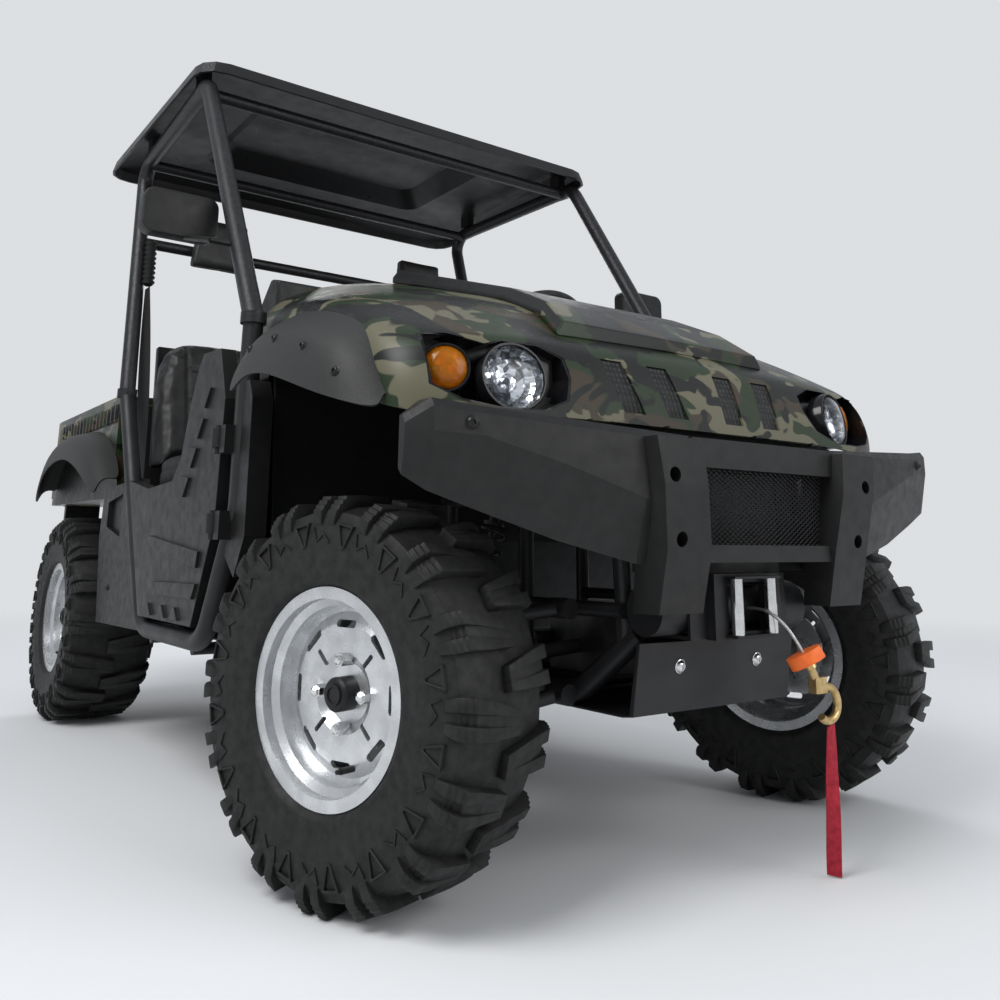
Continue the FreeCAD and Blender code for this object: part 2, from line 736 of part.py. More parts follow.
# Front bumper. Each wing is a moulded bar swept back to the corner, columns: x, front y, top z,
# crease z, low z, depth.
BUMPER_WING = (
    (186, -1412, 722, 606, 512, 70),
    (290, -1408, 726, 618, 518, 70),
    (430, -1384, 734, 664, 552, 62),
    (560, -1356, 744, 700, 594, 54),
    (636, -1336, 752, 704, 620, 44),
    (664, -1302, 728, 692, 642, 16),
)


def make_bumper():
    sections = []
    for x, y, top, crease, low, depth in BUMPER_WING:
        sections.append(
            [
                (x, y + 8, top),
                (x, y, top - 12),
                (x, y, crease),
                (x, y + depth * 0.4, low),
                (x, y + depth, low + 10),
                (x, y + depth, top),
            ]
        )
    wing = ruled_body(sections)
    upright = ruled_body(
        [
            [(188, -1435, 714), (288, -1433, 714), (296, -1370, 714), (180, -1370, 714)],
            [(180, -1437, 640), (276, -1435, 640), (290, -1370, 640), (172, -1370, 640)],
            [(164, -1424, 540), (262, -1422, 540), (276, -1366, 540), (158, -1366, 540)],
            [(166, -1402, 442), (262, -1400, 442), (270, -1350, 442), (160, -1350, 442)],
        ]
    )
    top_bar = box(-190, 190, -1414, BUMPER_BACK_Y, 672, 720)
    low_bar = box(-182, 182, -1414, BUMPER_BACK_Y, 520, 548)
    parts = [wing, mirrored(wing), upright, mirrored(upright), top_bar, low_bar]
    bumper = fused(parts)
    for x, z in ((253, 655), (232, 556)):
        for side in (-1, 1):
            bumper = bumper.cut(rod((side * x, -1450, z), (side * x, -1395, z), 12))
    save(bumper, "bumper")
    grille = box(-182, 182, -1392, -1386, 548, 672).cut(bumper)
    save(grille, "bumper_grille")


def lamp(place, direction, radius):
    body = Part.makeCylinder(radius, 120, vec(place) - vec(direction).normalize() * 120, vec(direction))
    return body.common(pod_prism(0.955, -SEAT_GAP))


def make_lamps():
    save(pair(lamp((-433, -1256, 815), (-0.20, -0.95, 0.15), 61)), "headlamps")
    save(pair(lamp((-536, -1206, 826), (-0.45, -0.88, 0.10), 31)), "marker_lamps")


def make_winch():
    drum = rod((-115, -1290, 440), (115, -1290, 440), 38)
    gearbox = rod((115, -1290, 440), (186, -1290, 440), 44)
    motor = rod((-186, -1290, 440), (-115, -1290, 440), 42)
    plate = box(-126, 126, -1336, -1330, 392, 500)
    tray = box(-126, 126, -1336, FRONT_FRAME_FRONT_Y - 19 - SEAT_GAP, 393, 399)
    mount = fused([drum, gearbox, motor, plate, tray])
    window = box(-70, 70, -1345, -1328.5, 404, 484)
    save(mount.cut(window), "winch")
    fairlead = box(-86, 86, -1356, -1336 - SEAT_GAP, 392, 500).cut(box(-52, 52, -1366, -1326, 404, 486))
    rollers = [rod((x, -1368, 398), (x, -1368, 494), 11) for x in (-44, 44)]
    brackets = [box(-60, 60, -1380, -1355, z, z + 4) for z in (396, 492)]
    save(fused([fairlead] + rollers + brackets), "fairlead")


# The winch cable leaves the drum between the rollers and hangs down to a rubber stop, a steel hook
# and a strap of webbing that reaches the ground. Points: x, y, z.
CABLE_R = 3
CABLE_ROUTE = (
    (27, -1329, 440),
    (27, -1352, 441),
    (29, -1376, 436),
    (36, -1397, 420),
    (46, -1412, 396),
    (54, -1421, 372),
)
STOP_R = 31
STOP_WALL = 20
HOOK_R = 7
HOOK_BEND = 27
STRAP_HALF = 12.5
STRAP_WALL = 3
STRAP_ROUTE = (
    (113, 252),
    (118, 214),
    (126, 172),
    (129, 126),
    (136, 82),
    (145, 40),
    (150, 3),
)
STRAP_TOP_Y = -1425
STRAP_LOW_Y = -1386


def cord_path(points):
    corners = [vec(p) for p in points]
    edges = []
    start = corners[0]
    radii = []
    for before, corner, after in zip(corners, corners[1:], corners[2:]):
        run_in = (corner - before).normalize()
        run_out = (after - corner).normalize()
        half_turn = run_in.getAngle(run_out) / 2
        reach = 0.45 * min((corner - before).Length, (after - corner).Length)
        bend = reach / math.tan(half_turn)
        to_centre = (run_out - run_in).normalize()
        arc_start = corner - run_in * reach
        arc_end = corner + run_out * reach
        edges.append(Part.LineSegment(start, arc_start).toShape())
        arc_middle = corner + to_centre * (bend / math.cos(half_turn) - bend)
        edges.append(Part.Arc(arc_start, arc_middle, arc_end).toShape())
        start = arc_end
        radii.append(round(bend))
    edges.append(Part.LineSegment(start, corners[-1]).toShape())
    print("bend radii in mm:", radii)
    return Part.Wire(edges)


def strap_point(x, z):
    top_x, top_z = STRAP_ROUTE[0]
    low_x, low_z = STRAP_ROUTE[-1]
    share = (x - top_x) / (low_x - top_x)
    return (x, STRAP_TOP_Y + share * (STRAP_LOW_Y - STRAP_TOP_Y), z)


def make_winch_cable():
    path = cord_path(CABLE_ROUTE)
    circle = Part.makeCircle(CABLE_R, vec(CABLE_ROUTE[0]), vec(CABLE_ROUTE[1]) - vec(CABLE_ROUTE[0]))
    save(outward(path.makePipe(Part.Face(Part.Wire(circle)))), "winch_cable")

    down = (vec(CABLE_ROUTE[-1]) - vec(CABLE_ROUTE[-2])).normalize()
    stop_top = vec(CABLE_ROUTE[-1])
    save(Part.makeCylinder(STOP_R, STOP_WALL, stop_top, down), "cable_stop")

    # Seen from the front, the hook hangs in one plane: shank, clevis block and an open round bend.
    collar_top = stop_top + down * (STOP_WALL + SEAT_GAP)
    collar = Part.makeCylinder(HOOK_R + 3, 8, collar_top, down)
    shank_top = collar_top + down * 4
    knuckle = vec((84, STRAP_TOP_Y, 318))
    shank = Part.makeCylinder(HOOK_R, (knuckle - shank_top).Length, shank_top, knuckle - shank_top)
    clevis = Part.makeBox(30, 16, 26, knuckle - Vector(15, 8, 13))
    centre = Vector(108, STRAP_TOP_Y, 286)
    points = []
    for turn in (125, -5, -135):
        angle = math.radians(turn)
        points.append(centre + Vector(HOOK_BEND * math.cos(angle), 0, HOOK_BEND * math.sin(angle)))
    circle = Part.makeCircle(HOOK_R, points[0], Vector(0.82, 0, 0.57))
    bend = Part.Wire(Part.Arc(*points).toShape())
    arc = outward(bend.makePipe(Part.Face(Part.Wire(circle))))
    save(fused([clevis, shank, collar, arc]), "winch_hook")

    route = [strap_point(x, z) for x, z in STRAP_ROUTE]
    path = cord_path(route)
    run = (vec(route[1]) - vec(route[0])).normalize()
    level = Vector(run.z, 0, -run.x).normalize()
    thick = run.cross(level).normalize()
    top = vec(route[0])
    corners = [top + level * a + thick * b for a, b in (
        (-STRAP_WALL / 2, -STRAP_HALF),
        (STRAP_WALL / 2, -STRAP_HALF),
        (STRAP_WALL / 2, STRAP_HALF),
        (-STRAP_WALL / 2, STRAP_HALF),
    )]
    band = Part.Face(Part.makePolygon(corners + [corners[0]]))
    save(outward(path.makePipe(band)), "hook_strap")


# Each belt hangs from a bellows that lies along the rear pillar, and ends on the deck beside the seat.
BELT_HALF = 23
BELT_WALL = 2
BELLOWS_R = 19
BELLOWS_RIBS = 9
BELLOWS_PITCH = 17
BELLOWS_LOW_Z = 1304
BELT_DROP = 4


def make_belts():
    base = vec(B_BASE)
    along = (vec(B_TOP) - base).normalize()
    aside = Vector(-0.58, -0.79, 0)
    aside = (aside - along * aside.dot(along)).normalize()
    low = base + along * ((BELLOWS_LOW_Z - B_BASE[2]) / along.z) + aside * (CAGE_R + BELLOWS_R + SEAT_GAP)
    profile = [(0, 0)]
    for rib in range(BELLOWS_RIBS):
        profile += [(BELLOWS_R - 6, rib * BELLOWS_PITCH), (BELLOWS_R, (rib + 0.5) * BELLOWS_PITCH)]
    profile += [(BELLOWS_R - 6, BELLOWS_RIBS * BELLOWS_PITCH), (0, BELLOWS_RIBS * BELLOWS_PITCH)]
    points = [Vector(r, 0, z) for r, z in profile]
    bellows = Part.Face(Part.makePolygon(points + [points[0]])).revolve(Vector(0, 0, 0), Vector(0, 0, 1), 360)
    bellows.Placement = Placement(low, Rotation(Vector(0, 0, 1), along))
    seat_side = SEAT_X + SEAT_HALF + 5
    levels = []
    belt_top = low.z - BELT_DROP
    for x, y, z in ((low.x, low.y, belt_top), (seat_side, 326, deck_z(326 + BELT_HALF))):
        ends = ((0, -BELT_HALF), (BELT_WALL, -BELT_HALF), (BELT_WALL, BELT_HALF), (0, BELT_HALF))
        levels.append([(x + a, y + b, z) for a, b in ends])
    save(pair(outward(bellows)), "belt_bellows")
    save(pair(ruled_body(levels)), "seat_belts")


def make_skid():
    top = RAIL_Z - RAIL_R - SEAT_GAP
    low = top - SKID_WALL
    outline = [
        (-1292, 388),
        (-1284, 388),
        (-1262, top + 2),
        (-1240, top),
        (-640, top),
        (-640, low),
        (-1244, low),
        (-1272, low + 4),
    ]
    front = side_plate(outline, -200, 200)
    belly = box(-260, 260, -640 + SEAT_GAP, 560, low, top)
    save(Part.makeCompound([front, belly]), "skid_plates")


# Cab tub: one bent sheet from the dash down over the floor and seat deck to the rear bulkhead.
# Columns: y and z of the upper side, then how far the lower side lies from it in y and in z.
TUB_LINE = (
    (-600, 1000, -TUB_WALL, 0),
    (-640, 560, -TUB_WALL, -TUB_WALL / 2),
    (-488, FLOOR_Z, -TUB_WALL / 2, -TUB_WALL),
    (-130, FLOOR_Z, TUB_WALL, -TUB_WALL),
    (-108, 640, TUB_WALL, -TUB_WALL),
    (430, 660, TUB_WALL, -TUB_WALL),
    (500, 960, TUB_WALL, 0),
)


def make_tub():
    upper = [(y, z) for y, z, dy, dz in TUB_LINE]
    lower = [(y + dy, z + dz) for y, z, dy, dz in TUB_LINE]
    save(side_plate(upper + lower[::-1], -TUB_HALF, TUB_HALF), "cab_tub")


def dash_shape():
    front = HOOD_SECTIONS[0][0] + SEAT_GAP
    outline = [(front, 900), (front, 1120), (-500, 1132), (-446, 1080), (-440, 960), (-470, 900)]
    dash = side_plate(outline, -560, 560)
    hump = side_plate([(front, 1110), (front, 1170), (-500, 1178), (-470, 1090)], -130, 130)
    return dash.fuse(hump).removeSplitter()


def make_dash():
    tub_top = side_plate([(-700, 880), (-700, 1020), (-590, 1020), (-590, 880)], -600, 600)
    save(dash_shape().cut(tub_top), "dash")


def make_steering():
    centre = vec(STEER_CENTRE)
    slope = math.radians(STEER_SLOPE)
    axis = Vector(0, -math.cos(slope), -math.sin(slope))
    rim = Part.makeTorus(STEER_R, STEER_RIM_R, centre, axis)
    hub = Part.makeCylinder(34, 30, centre, axis)
    parts = [rim, hub]
    up = Vector(0, -math.sin(slope), math.cos(slope))
    for turn in (90, 210, 330):
        spoke_dir = Vector(1, 0, 0) * math.cos(math.radians(turn)) + up * math.sin(math.radians(turn))
        start = centre + axis * 12
        parts.append(Part.makeCylinder(9, STEER_R, start, spoke_dir))
    save(fused(parts), "steering_wheel")
    column = Part.makeCylinder(22, 220, centre + axis * 30.3, axis)
    save(column.cut(dash_shape()), "steering_column")


def deck_z(y):
    front = TUB_LINE[4]
    rear = TUB_LINE[5]
    return front[1] + (rear[1] - front[1]) * (y - front[0]) / (rear[0] - front[0]) + SEAT_GAP


def make_seats():
    cushion = [(-150, 700), (-140, 752), (-80, 772), (262, 756), (300, 690)]
    cushion += [(300, deck_z(300)), (-106, deck_z(-106))]
    back = [(262, 756), (300, deck_z(300)), (380, deck_z(380)), (440, 900)]
    back += [(470, 1150), (420, 1176), (372, 1150), (330, 960)]
    for name, side in (("left", 1), ("right", -1)):
        x0 = side * SEAT_X - SEAT_HALF
        x1 = side * SEAT_X + SEAT_HALF
        seat = side_plate(cushion, x0, x1).fuse(side_plate(back, x0 + 8, x1 - 8))
        save(seat, "seat_" + name)


# Door seen from the side, and the raised forms pressed on it, columns: y, z.
DOOR_OUTLINE = (
    (-552, 842),
    (-504, 957),
    (-395, 962),
    (-369, 935),
    (-328, 853),
    (-286, 734),
    (-233, 686),
    (-49, 676),
    (132, 705),
    (-51, 374),
    (-438, 374),
    (-540, 590),
)
DOOR_BARS = (
    ((-470, 528), (-110, 562), (-96, 540), (-462, 494)),
    ((-468, 462), (-166, 458), (-176, 430), (-448, 430)),
)
DOOR_WEDGES = ((-440, 856), (-408, 792), (-374, 730), (-336, 668))
DOOR_CHEVRONS = ((-142, 382), (-246, 382), (-338, 382))
DOOR_RELIEF = 7


def door_relief():
    shapes = [side_plate(bar, DOOR_OUT_X - 1, DOOR_OUT_X + DOOR_RELIEF) for bar in DOOR_BARS]
    for y, z in DOOR_WEDGES:
        wedge = [(y - 36, z + 18), (y + 30, z + 26), (y - 4, z - 24)]
        shapes.append(side_plate(wedge, DOOR_OUT_X - 1, DOOR_OUT_X + DOOR_RELIEF))
    for y, z in DOOR_CHEVRONS:
        chevron = [(y - 30, z), (y + 30, z), (y + 6, z + 26), (y - 6, z + 26)]
        shapes.append(side_plate(chevron, DOOR_OUT_X - 1, DOOR_OUT_X + DOOR_RELIEF))
    return shapes


def make_doors():
    for name, side in (("left", 1), ("right", -1)):
        x0 = DOOR_OUT_X - DOOR_WALL
        panel = side_plate(DOOR_OUTLINE, x0, DOOR_OUT_X)
        ears = []
        for z in (584, 756):
            eye = Part.makeCylinder(14, 40, Vector(HINGE_X, HINGE_Y, z - 20))
            strap = box(DOOR_OUT_X - 4, DOOR_OUT_X + 6, HINGE_Y, HINGE_Y + 60, z - 16, z + 16)
            ears += [eye, strap]
        door = fused([panel] + door_relief() + ears)
        pins = rod((HINGE_X, HINGE_Y, 540), (HINGE_X, HINGE_Y, 800), HINGE_R + 0.05)
        door = door.cut(pins)
        if side < 0:
            door = mirrored(door)
        save(door, "door_" + name)
    brackets = []
    for z in (584, 756):
        pin = rod((HINGE_X, HINGE_Y, z - 32), (HINGE_X, HINGE_Y, z + 26), HINGE_R)
        foot = box(HOOP_X - 2, HINGE_X, HINGE_Y - 30, HINGE_Y + 10, z - 32, z - 22)
        plate = box(HOOP_X - 2, HINGE_X + 4, HINGE_Y - 46, HINGE_Y - 18, z - 32, z + 24)
        brackets += [pin, foot, plate]
    outline = [(-684, 560), (-680, 830), (-660, 868), (-585, 868), (-585, 520), (-640, 480)]
    panel = side_plate(outline, TUB_HALF + 25, HOOP_X + 14)
    strip = panel.fuse(fused(brackets)).cut(hoop_tube(HOOP_R + SEAT_GAP))
    save(pair(strip), "front_side_panels")


def make_rear_panels():
    rear = REAR_AXLE_Y - 405
    outline = [(-20, 330), (rear, 322), (rear + 55, 560), (rear + 38, 700), (195, 716), (150, 640)]
    panel = side_plate(outline, TUB_HALF + 9, HOOP_X - 14).cut(hoop_tube(HOOP_R + SEAT_GAP))
    scoop_line = [(rear - 170, 560), (rear - 20, 590), (rear - 20, 660), (rear - 170, 680)]
    scoop = side_plate(scoop_line, HOOP_X - 28, HOOP_X - 8)
    save(pair(panel.cut(scoop)), "rear_side_panels")


def make_engine():
    foot_z = RAIL_Z + 16 + SEAT_GAP
    block = box(-168, 168, 120, REAR_AXLE_Y - 397, foot_z + 10, REAR_FRAME_Z + 60)
    feet = [box(-40, 40, y - 14, y + 14, foot_z, foot_z + 12) for y in (150, 420)]
    save(fused([block] + feet), "engine")
    muffler_y = REAR_AXLE_Y + 155
    muffler_z = REAR_FRAME_Z - 80
    muffler = rod((-150, muffler_y, muffler_z), (150, muffler_y, muffler_z), 62)
    hanger = box(-20, 20, muffler_y - 10, muffler_y + 100, muffler_z + 60, REAR_FRAME_Z - 15 - SEAT_GAP)
    save(muffler.fuse(hanger), "muffler")
    save(box(-146, 146, -1310, FRONT_FRAME_FRONT_Y - 15 - SEAT_GAP, 500, 690), "radiator")


# A wishbone's ball housing is a short post, and its two legs spread to pivot tubes on the frame.
def wishbone(inner_x, inner_z, ball_x, housing_z, leg_z, y, spread):
    legs = [Part.makeCylinder(22, 20, Vector(ball_x, y, housing_z))]
    for offset in (-spread, spread):
        legs.append(rod((inner_x, y + offset, inner_z), (ball_x - 16, y, leg_z), ARM_R))
        legs.append(rod((inner_x, y + offset - 24, inner_z), (inner_x, y + offset + 24, inner_z), ARM_R + 5))
    return legs


def arm_cross(inner_x, inner_z, ball_x, ball_z, y, spread):
    share = (ARM_CROSS_X - inner_x) / (ball_x - inner_x)
    half = spread * (1 - share)
    z = inner_z + (ball_z - inner_z) * share
    return rod((ARM_CROSS_X, y - half, z), (ARM_CROSS_X, y + half, z), ARM_R), z


def shock(low, high):
    start = vec(low)
    run = vec(high) - start
    length = run.Length
    turns = 7
    spring_low = length * 0.2
    pitch = length * 0.66 / turns
    profile = [(0, 0), (SHOCK_ROD_R, 0), (SHOCK_ROD_R, spring_low)]
    for turn in range(turns):
        profile.append((SHOCK_R, spring_low + pitch * (turn + 0.25)))
        profile.append((SHOCK_R - 11, spring_low + pitch * (turn + 0.85)))
    profile += [(SHOCK_ROD_R + 8, spring_low + pitch * turns), (SHOCK_ROD_R + 8, length), (0, length)]
    points = [Vector(r, 0, z) for r, z in profile]
    body = Part.Face(Part.makePolygon(points + [points[0]])).revolve(Vector(0, 0, 0), Vector(0, 0, 1), 360)
    body.Placement = Placement(start, Rotation(Vector(0, 0, 1), run))
    return body


def make_suspension():
    inner_x = RAIL_X + RAIL_R + ARM_R + 5 + SEAT_GAP
    ball_z = LOWER_BALL_Z - 4 - 20 - SEAT_GAP
    leg_z = ball_z + 4
    front = wishbone(inner_x, RAIL_Z, KINGPIN_X, ball_z, leg_z, FRONT_AXLE_Y, ARM_SPREAD)
    cross, cross_z = arm_cross(inner_x, RAIL_Z, KINGPIN_X - 16, leg_z, FRONT_AXLE_Y, ARM_SPREAD)
    save(pair(fused(front + [cross])), "front_lower_arms")
    upper_x = RAIL_X + 15 + ARM_R + 5 + SEAT_GAP
    upper_z = UPPER_BALL_Z + 4 + SEAT_GAP
    upper = wishbone(upper_x, FRONT_FRAME_MID_Z, KINGPIN_X, upper_z, upper_z + 13, FRONT_AXLE_Y, ARM_SPREAD)
    save(pair(fused(upper)), "front_upper_arms")
    front_y = FRONT_AXLE_Y + SHOCK_Y
    front_low = (ARM_CROSS_X, front_y, cross_z + ARM_R + 4)
    front_high = (262, front_y, FRONT_FRAME_TOP_Z - 15 - 5.4)

    rear_x = REAR_WHEEL_X - REAR_TYRE_HALF - 26
    rear = wishbone(inner_x, RAIL_Z, rear_x, AXLE_Z - 50, AXLE_Z - 43, REAR_AXLE_Y, 130)
    cross, cross_z = arm_cross(inner_x, RAIL_Z, rear_x - 16, AXLE_Z - 43, REAR_AXLE_Y, 130)
    carrier = box(rear_x - 14, rear_x + 14, REAR_AXLE_Y - 40, REAR_AXLE_Y + 40, AXLE_Z - 60, AXLE_Z + 60)
    brake_x = REAR_WHEEL_X + REAR_RIM_HALF - DISC_SET_IN - 14 - HUB_LENGTH
    hub = rod((rear_x, REAR_AXLE_Y, AXLE_Z), (brake_x - SEAT_GAP, REAR_AXLE_Y, AXLE_Z), KNUCKLE_R)
    save(pair(fused(rear + [cross, carrier, hub])), "rear_arms")
    rear_y = REAR_AXLE_Y + REAR_SHOCK_Y
    rear_low = (ARM_CROSS_X, rear_y, cross_z + ARM_R + 5)
    rear_high = (285, rear_y, REAR_FRAME_Z - 15 - 6)
    shocks = [pair(shock(front_low, front_high)), pair(shock(rear_low, rear_high))]
    save(Part.makeCompound(shocks), "shocks")


def make_driveline():
    case_z = RAIL_Z + 16 + SEAT_GAP
    shaft_z = RAIL_Z + 31
    front_case = box(-90, 90, FRONT_AXLE_Y - 80, FRONT_AXLE_Y + 84, case_z, case_z + 104)
    front_shaft = rod((88, FRONT_AXLE_Y, AXLE_Z + 44), (KINGPIN_X - 40, FRONT_AXLE_Y, AXLE_Z + 12), 13)
    prop = rod((0, FRONT_AXLE_Y + 84 + SEAT_GAP, shaft_z), (0, 120 - SEAT_GAP, shaft_z), 13)
    rack_y = FRONT_AXLE_Y + STEER_ARM * math.cos(math.radians(PARKED_STEER))
    housing = rod((-130, rack_y, TIE_ROD_Z), (130, rack_y, TIE_ROD_Z), TIE_ROD_R + 9)
    bore = rod((-140, rack_y, TIE_ROD_Z), (140, rack_y, TIE_ROD_Z), TIE_ROD_R + SEAT_GAP)
    case = fused([front_case, front_shaft, mirrored(front_shaft), housing]).cut(bore)
    save(Part.makeCompound([case, prop]), "front_driveline")
    rear_case = box(-100, 100, REAR_AXLE_Y - 110, REAR_AXLE_Y + 80, case_z, case_z + 104)
    shaft_end = (REAR_WHEEL_X - REAR_TYRE_HALF - 42, REAR_AXLE_Y, AXLE_Z + 20)
    rear_shaft = rod((100, REAR_AXLE_Y, AXLE_Z + 40), shaft_end, 13)
    save(fused([rear_case, rear_shaft, mirrored(rear_shaft)]), "rear_driveline")


def make_steering_linkage():
    steer = math.radians(PARKED_STEER)
    rack_y = FRONT_AXLE_Y + STEER_ARM * math.cos(steer)
    shift = -STEER_ARM * math.sin(steer)
    left_x = KINGPIN_X + shift
    right_x = -KINGPIN_X + shift
    bar = rod((right_x, rack_y, TIE_ROD_Z), (left_x, rack_y, TIE_ROD_Z), TIE_ROD_R)
    parts = [bar]
    for x in (left_x, right_x):
        parts.append(Part.makeCylinder(12, 20, Vector(x, rack_y, TIE_ROD_Z - TIE_ROD_R)))
    save(fused(parts), "tie_rods")


def make_bed():
    floor = box(-BED_HALF, BED_HALF, BED_FRONT_Y, BED_REAR_Y, BED_FLOOR_Z - BED_WALL, BED_FLOOR_Z)
    front = box(-BED_HALF, BED_HALF, BED_FRONT_Y, BED_FRONT_Y + BED_WALL, BED_FLOOR_Z, BED_TOP_Z)
    side = box(BED_HALF - BED_WALL, BED_HALF, BED_FRONT_Y, BED_REAR_Y, BED_FLOOR_Z, BED_TOP_Z)
    lug_low = BED_PIVOT_Z - 14
    lug = box(RAIL_X + 9, RAIL_X + 21, BED_PIVOT_Y - 18, BED_PIVOT_Y + 18, lug_low, BED_FLOOR_Z - BED_WALL)
    pivot = rod((RAIL_X - 30, BED_PIVOT_Y, BED_PIVOT_Z), (RAIL_X + 21, BED_PIVOT_Y, BED_PIVOT_Z), 7.95)
    gate_y = BED_REAR_Y + GATE_GAP
    hinge_y = gate_y + GATE_WALL / 2
    pin_x = BED_HALF - 105
    bracket = box(pin_x + 68, pin_x + 92, BED_REAR_Y - 4, hinge_y + 10, GATE_HINGE_Z - 10, GATE_HINGE_Z + 6)
    gate_pin = rod((pin_x, hinge_y, GATE_HINGE_Z), (pin_x + 70, hinge_y, GATE_HINGE_Z), 6)
    half = [side, lug, pivot, bracket, gate_pin]
    save(fused([floor, front] + half + [mirrored(piece) for piece in half]), "cargo_bed")
    panel = box(-BED_HALF + 2, BED_HALF - 2, gate_y, gate_y + GATE_WALL, GATE_HINGE_Z + 16, BED_TOP_Z)
    eye = rod((pin_x + 4, hinge_y, GATE_HINGE_Z), (pin_x + 60, hinge_y, GATE_HINGE_Z), 12)
    neck = box(pin_x + 4, pin_x + 60, hinge_y - 8, hinge_y + 8, GATE_HINGE_Z, GATE_HINGE_Z + 20)
    bore = rod((pin_x - 10, hinge_y, GATE_HINGE_Z), (BED_HALF, hinge_y, GATE_HINGE_Z), 6 + SEAT_GAP)
    ears = eye.fuse(neck).cut(bore)
    save(fused([panel, ears, mirrored(ears)]), "tailgate")
    lamp_x = BED_HALF - 165
    top = BED_FLOOR_Z - BED_WALL - SEAT_GAP
    save(pair(box(lamp_x, lamp_x + 120, BED_REAR_Y - 29, BED_REAR_Y - 5, top - 66, top)), "tail_lamps")


def make_mirrors():
    head = box(-822, -650, -380, -338, 1230, 1338)
    arm = rod((-720, -360, 1236), (-700, -500, 1196), 7)
    stem = rod((-704, -500, 1196), (-A_BASE[0] + 2 - CAGE_R - 0.6, -500, 1196), 7)
    save(pair(fused([head, arm, stem])), "mirrors")


os.makedirs("parts", exist_ok=True)
make_wheels()
make_knuckles()
make_frame()
make_side_hoops()
make_cage()
make_roof()
make_hood()
make_hood_panel()
make_flares()
make_bumper()
make_lamps()
make_winch()
make_winch_cable()
make_belts()
make_skid()
make_tub()
make_dash()
make_steering()
make_seats()
make_doors()
make_rear_panels()
make_engine()
make_suspension()
make_driveline()
make_steering_linkage()
make_bed()
make_mirrors()
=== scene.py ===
import json
import math

import bpy
from mathutils import Matrix, Vector

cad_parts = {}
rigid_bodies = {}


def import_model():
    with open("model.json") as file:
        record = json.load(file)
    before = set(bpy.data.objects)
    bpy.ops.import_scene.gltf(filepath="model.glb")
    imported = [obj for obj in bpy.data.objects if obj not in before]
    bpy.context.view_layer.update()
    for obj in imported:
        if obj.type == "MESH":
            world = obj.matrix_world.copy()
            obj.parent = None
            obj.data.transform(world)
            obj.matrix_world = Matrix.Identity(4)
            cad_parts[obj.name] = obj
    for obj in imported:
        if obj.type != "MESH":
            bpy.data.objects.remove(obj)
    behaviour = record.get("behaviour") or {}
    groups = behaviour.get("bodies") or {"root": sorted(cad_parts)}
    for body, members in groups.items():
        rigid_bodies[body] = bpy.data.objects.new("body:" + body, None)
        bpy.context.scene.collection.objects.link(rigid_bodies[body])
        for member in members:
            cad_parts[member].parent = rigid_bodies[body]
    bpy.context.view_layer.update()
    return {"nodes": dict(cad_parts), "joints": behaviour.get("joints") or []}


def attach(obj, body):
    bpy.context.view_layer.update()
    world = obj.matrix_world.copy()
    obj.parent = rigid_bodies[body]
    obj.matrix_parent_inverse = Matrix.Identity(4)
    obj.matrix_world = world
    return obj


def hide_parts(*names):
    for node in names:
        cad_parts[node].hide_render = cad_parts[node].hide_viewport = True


# Compact utility vehicle with two seats side by side, in metres. The front points to -Y,
# the vehicle's left side is +X, and the origin is on the ground in the middle of its footprint.

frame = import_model()
bpy.ops.object.select_all(action="DESELECT")
bpy.context.scene.view_settings.view_transform = "Standard"

# Camera, low at the front right corner as in the photograph, with a small shift that keeps
# the uprights as upright as they are there.
CAMERA_PLACE = Vector((-1.338, -2.464, 0.545))
CAMERA_YAW = math.radians(35.91)
CAMERA_PITCH = math.radians(12.79)
CAMERA_ROLL = math.radians(0.41)
CAMERA_FOCAL_PIXELS = 935
PICTURE_PIXELS = 1000
CENTRE_PIXEL_Y = 333
SENSOR_WIDTH = 36
camera_data = bpy.data.cameras.new("camera")
camera = bpy.data.objects.new("camera", camera_data)
bpy.context.collection.objects.link(camera)
forward = Vector((
    math.sin(CAMERA_YAW) * math.cos(CAMERA_PITCH),
    math.cos(CAMERA_YAW) * math.cos(CAMERA_PITCH),
    math.sin(CAMERA_PITCH),
))
level_right = Vector((math.cos(CAMERA_YAW), -math.sin(CAMERA_YAW), 0))
level_up = level_right.cross(forward)
right = math.cos(CAMERA_ROLL) * level_right + math.sin(CAMERA_ROLL) * level_up
up = math.cos(CAMERA_ROLL) * level_up - math.sin(CAMERA_ROLL) * level_right
camera.matrix_world = Matrix.Translation(CAMERA_PLACE) @ Matrix((right, up, -forward)).transposed().to_4x4()
camera_data.sensor_width = SENSOR_WIDTH
camera_data.lens = SENSOR_WIDTH * CAMERA_FOCAL_PIXELS / PICTURE_PIXELS
camera_data.shift_y = (CENTRE_PIXEL_Y - PICTURE_PIXELS / 2) / PICTURE_PIXELS
camera_data.clip_start = 0.02
camera_data.clip_end = 100
bpy.context.scene.camera = camera


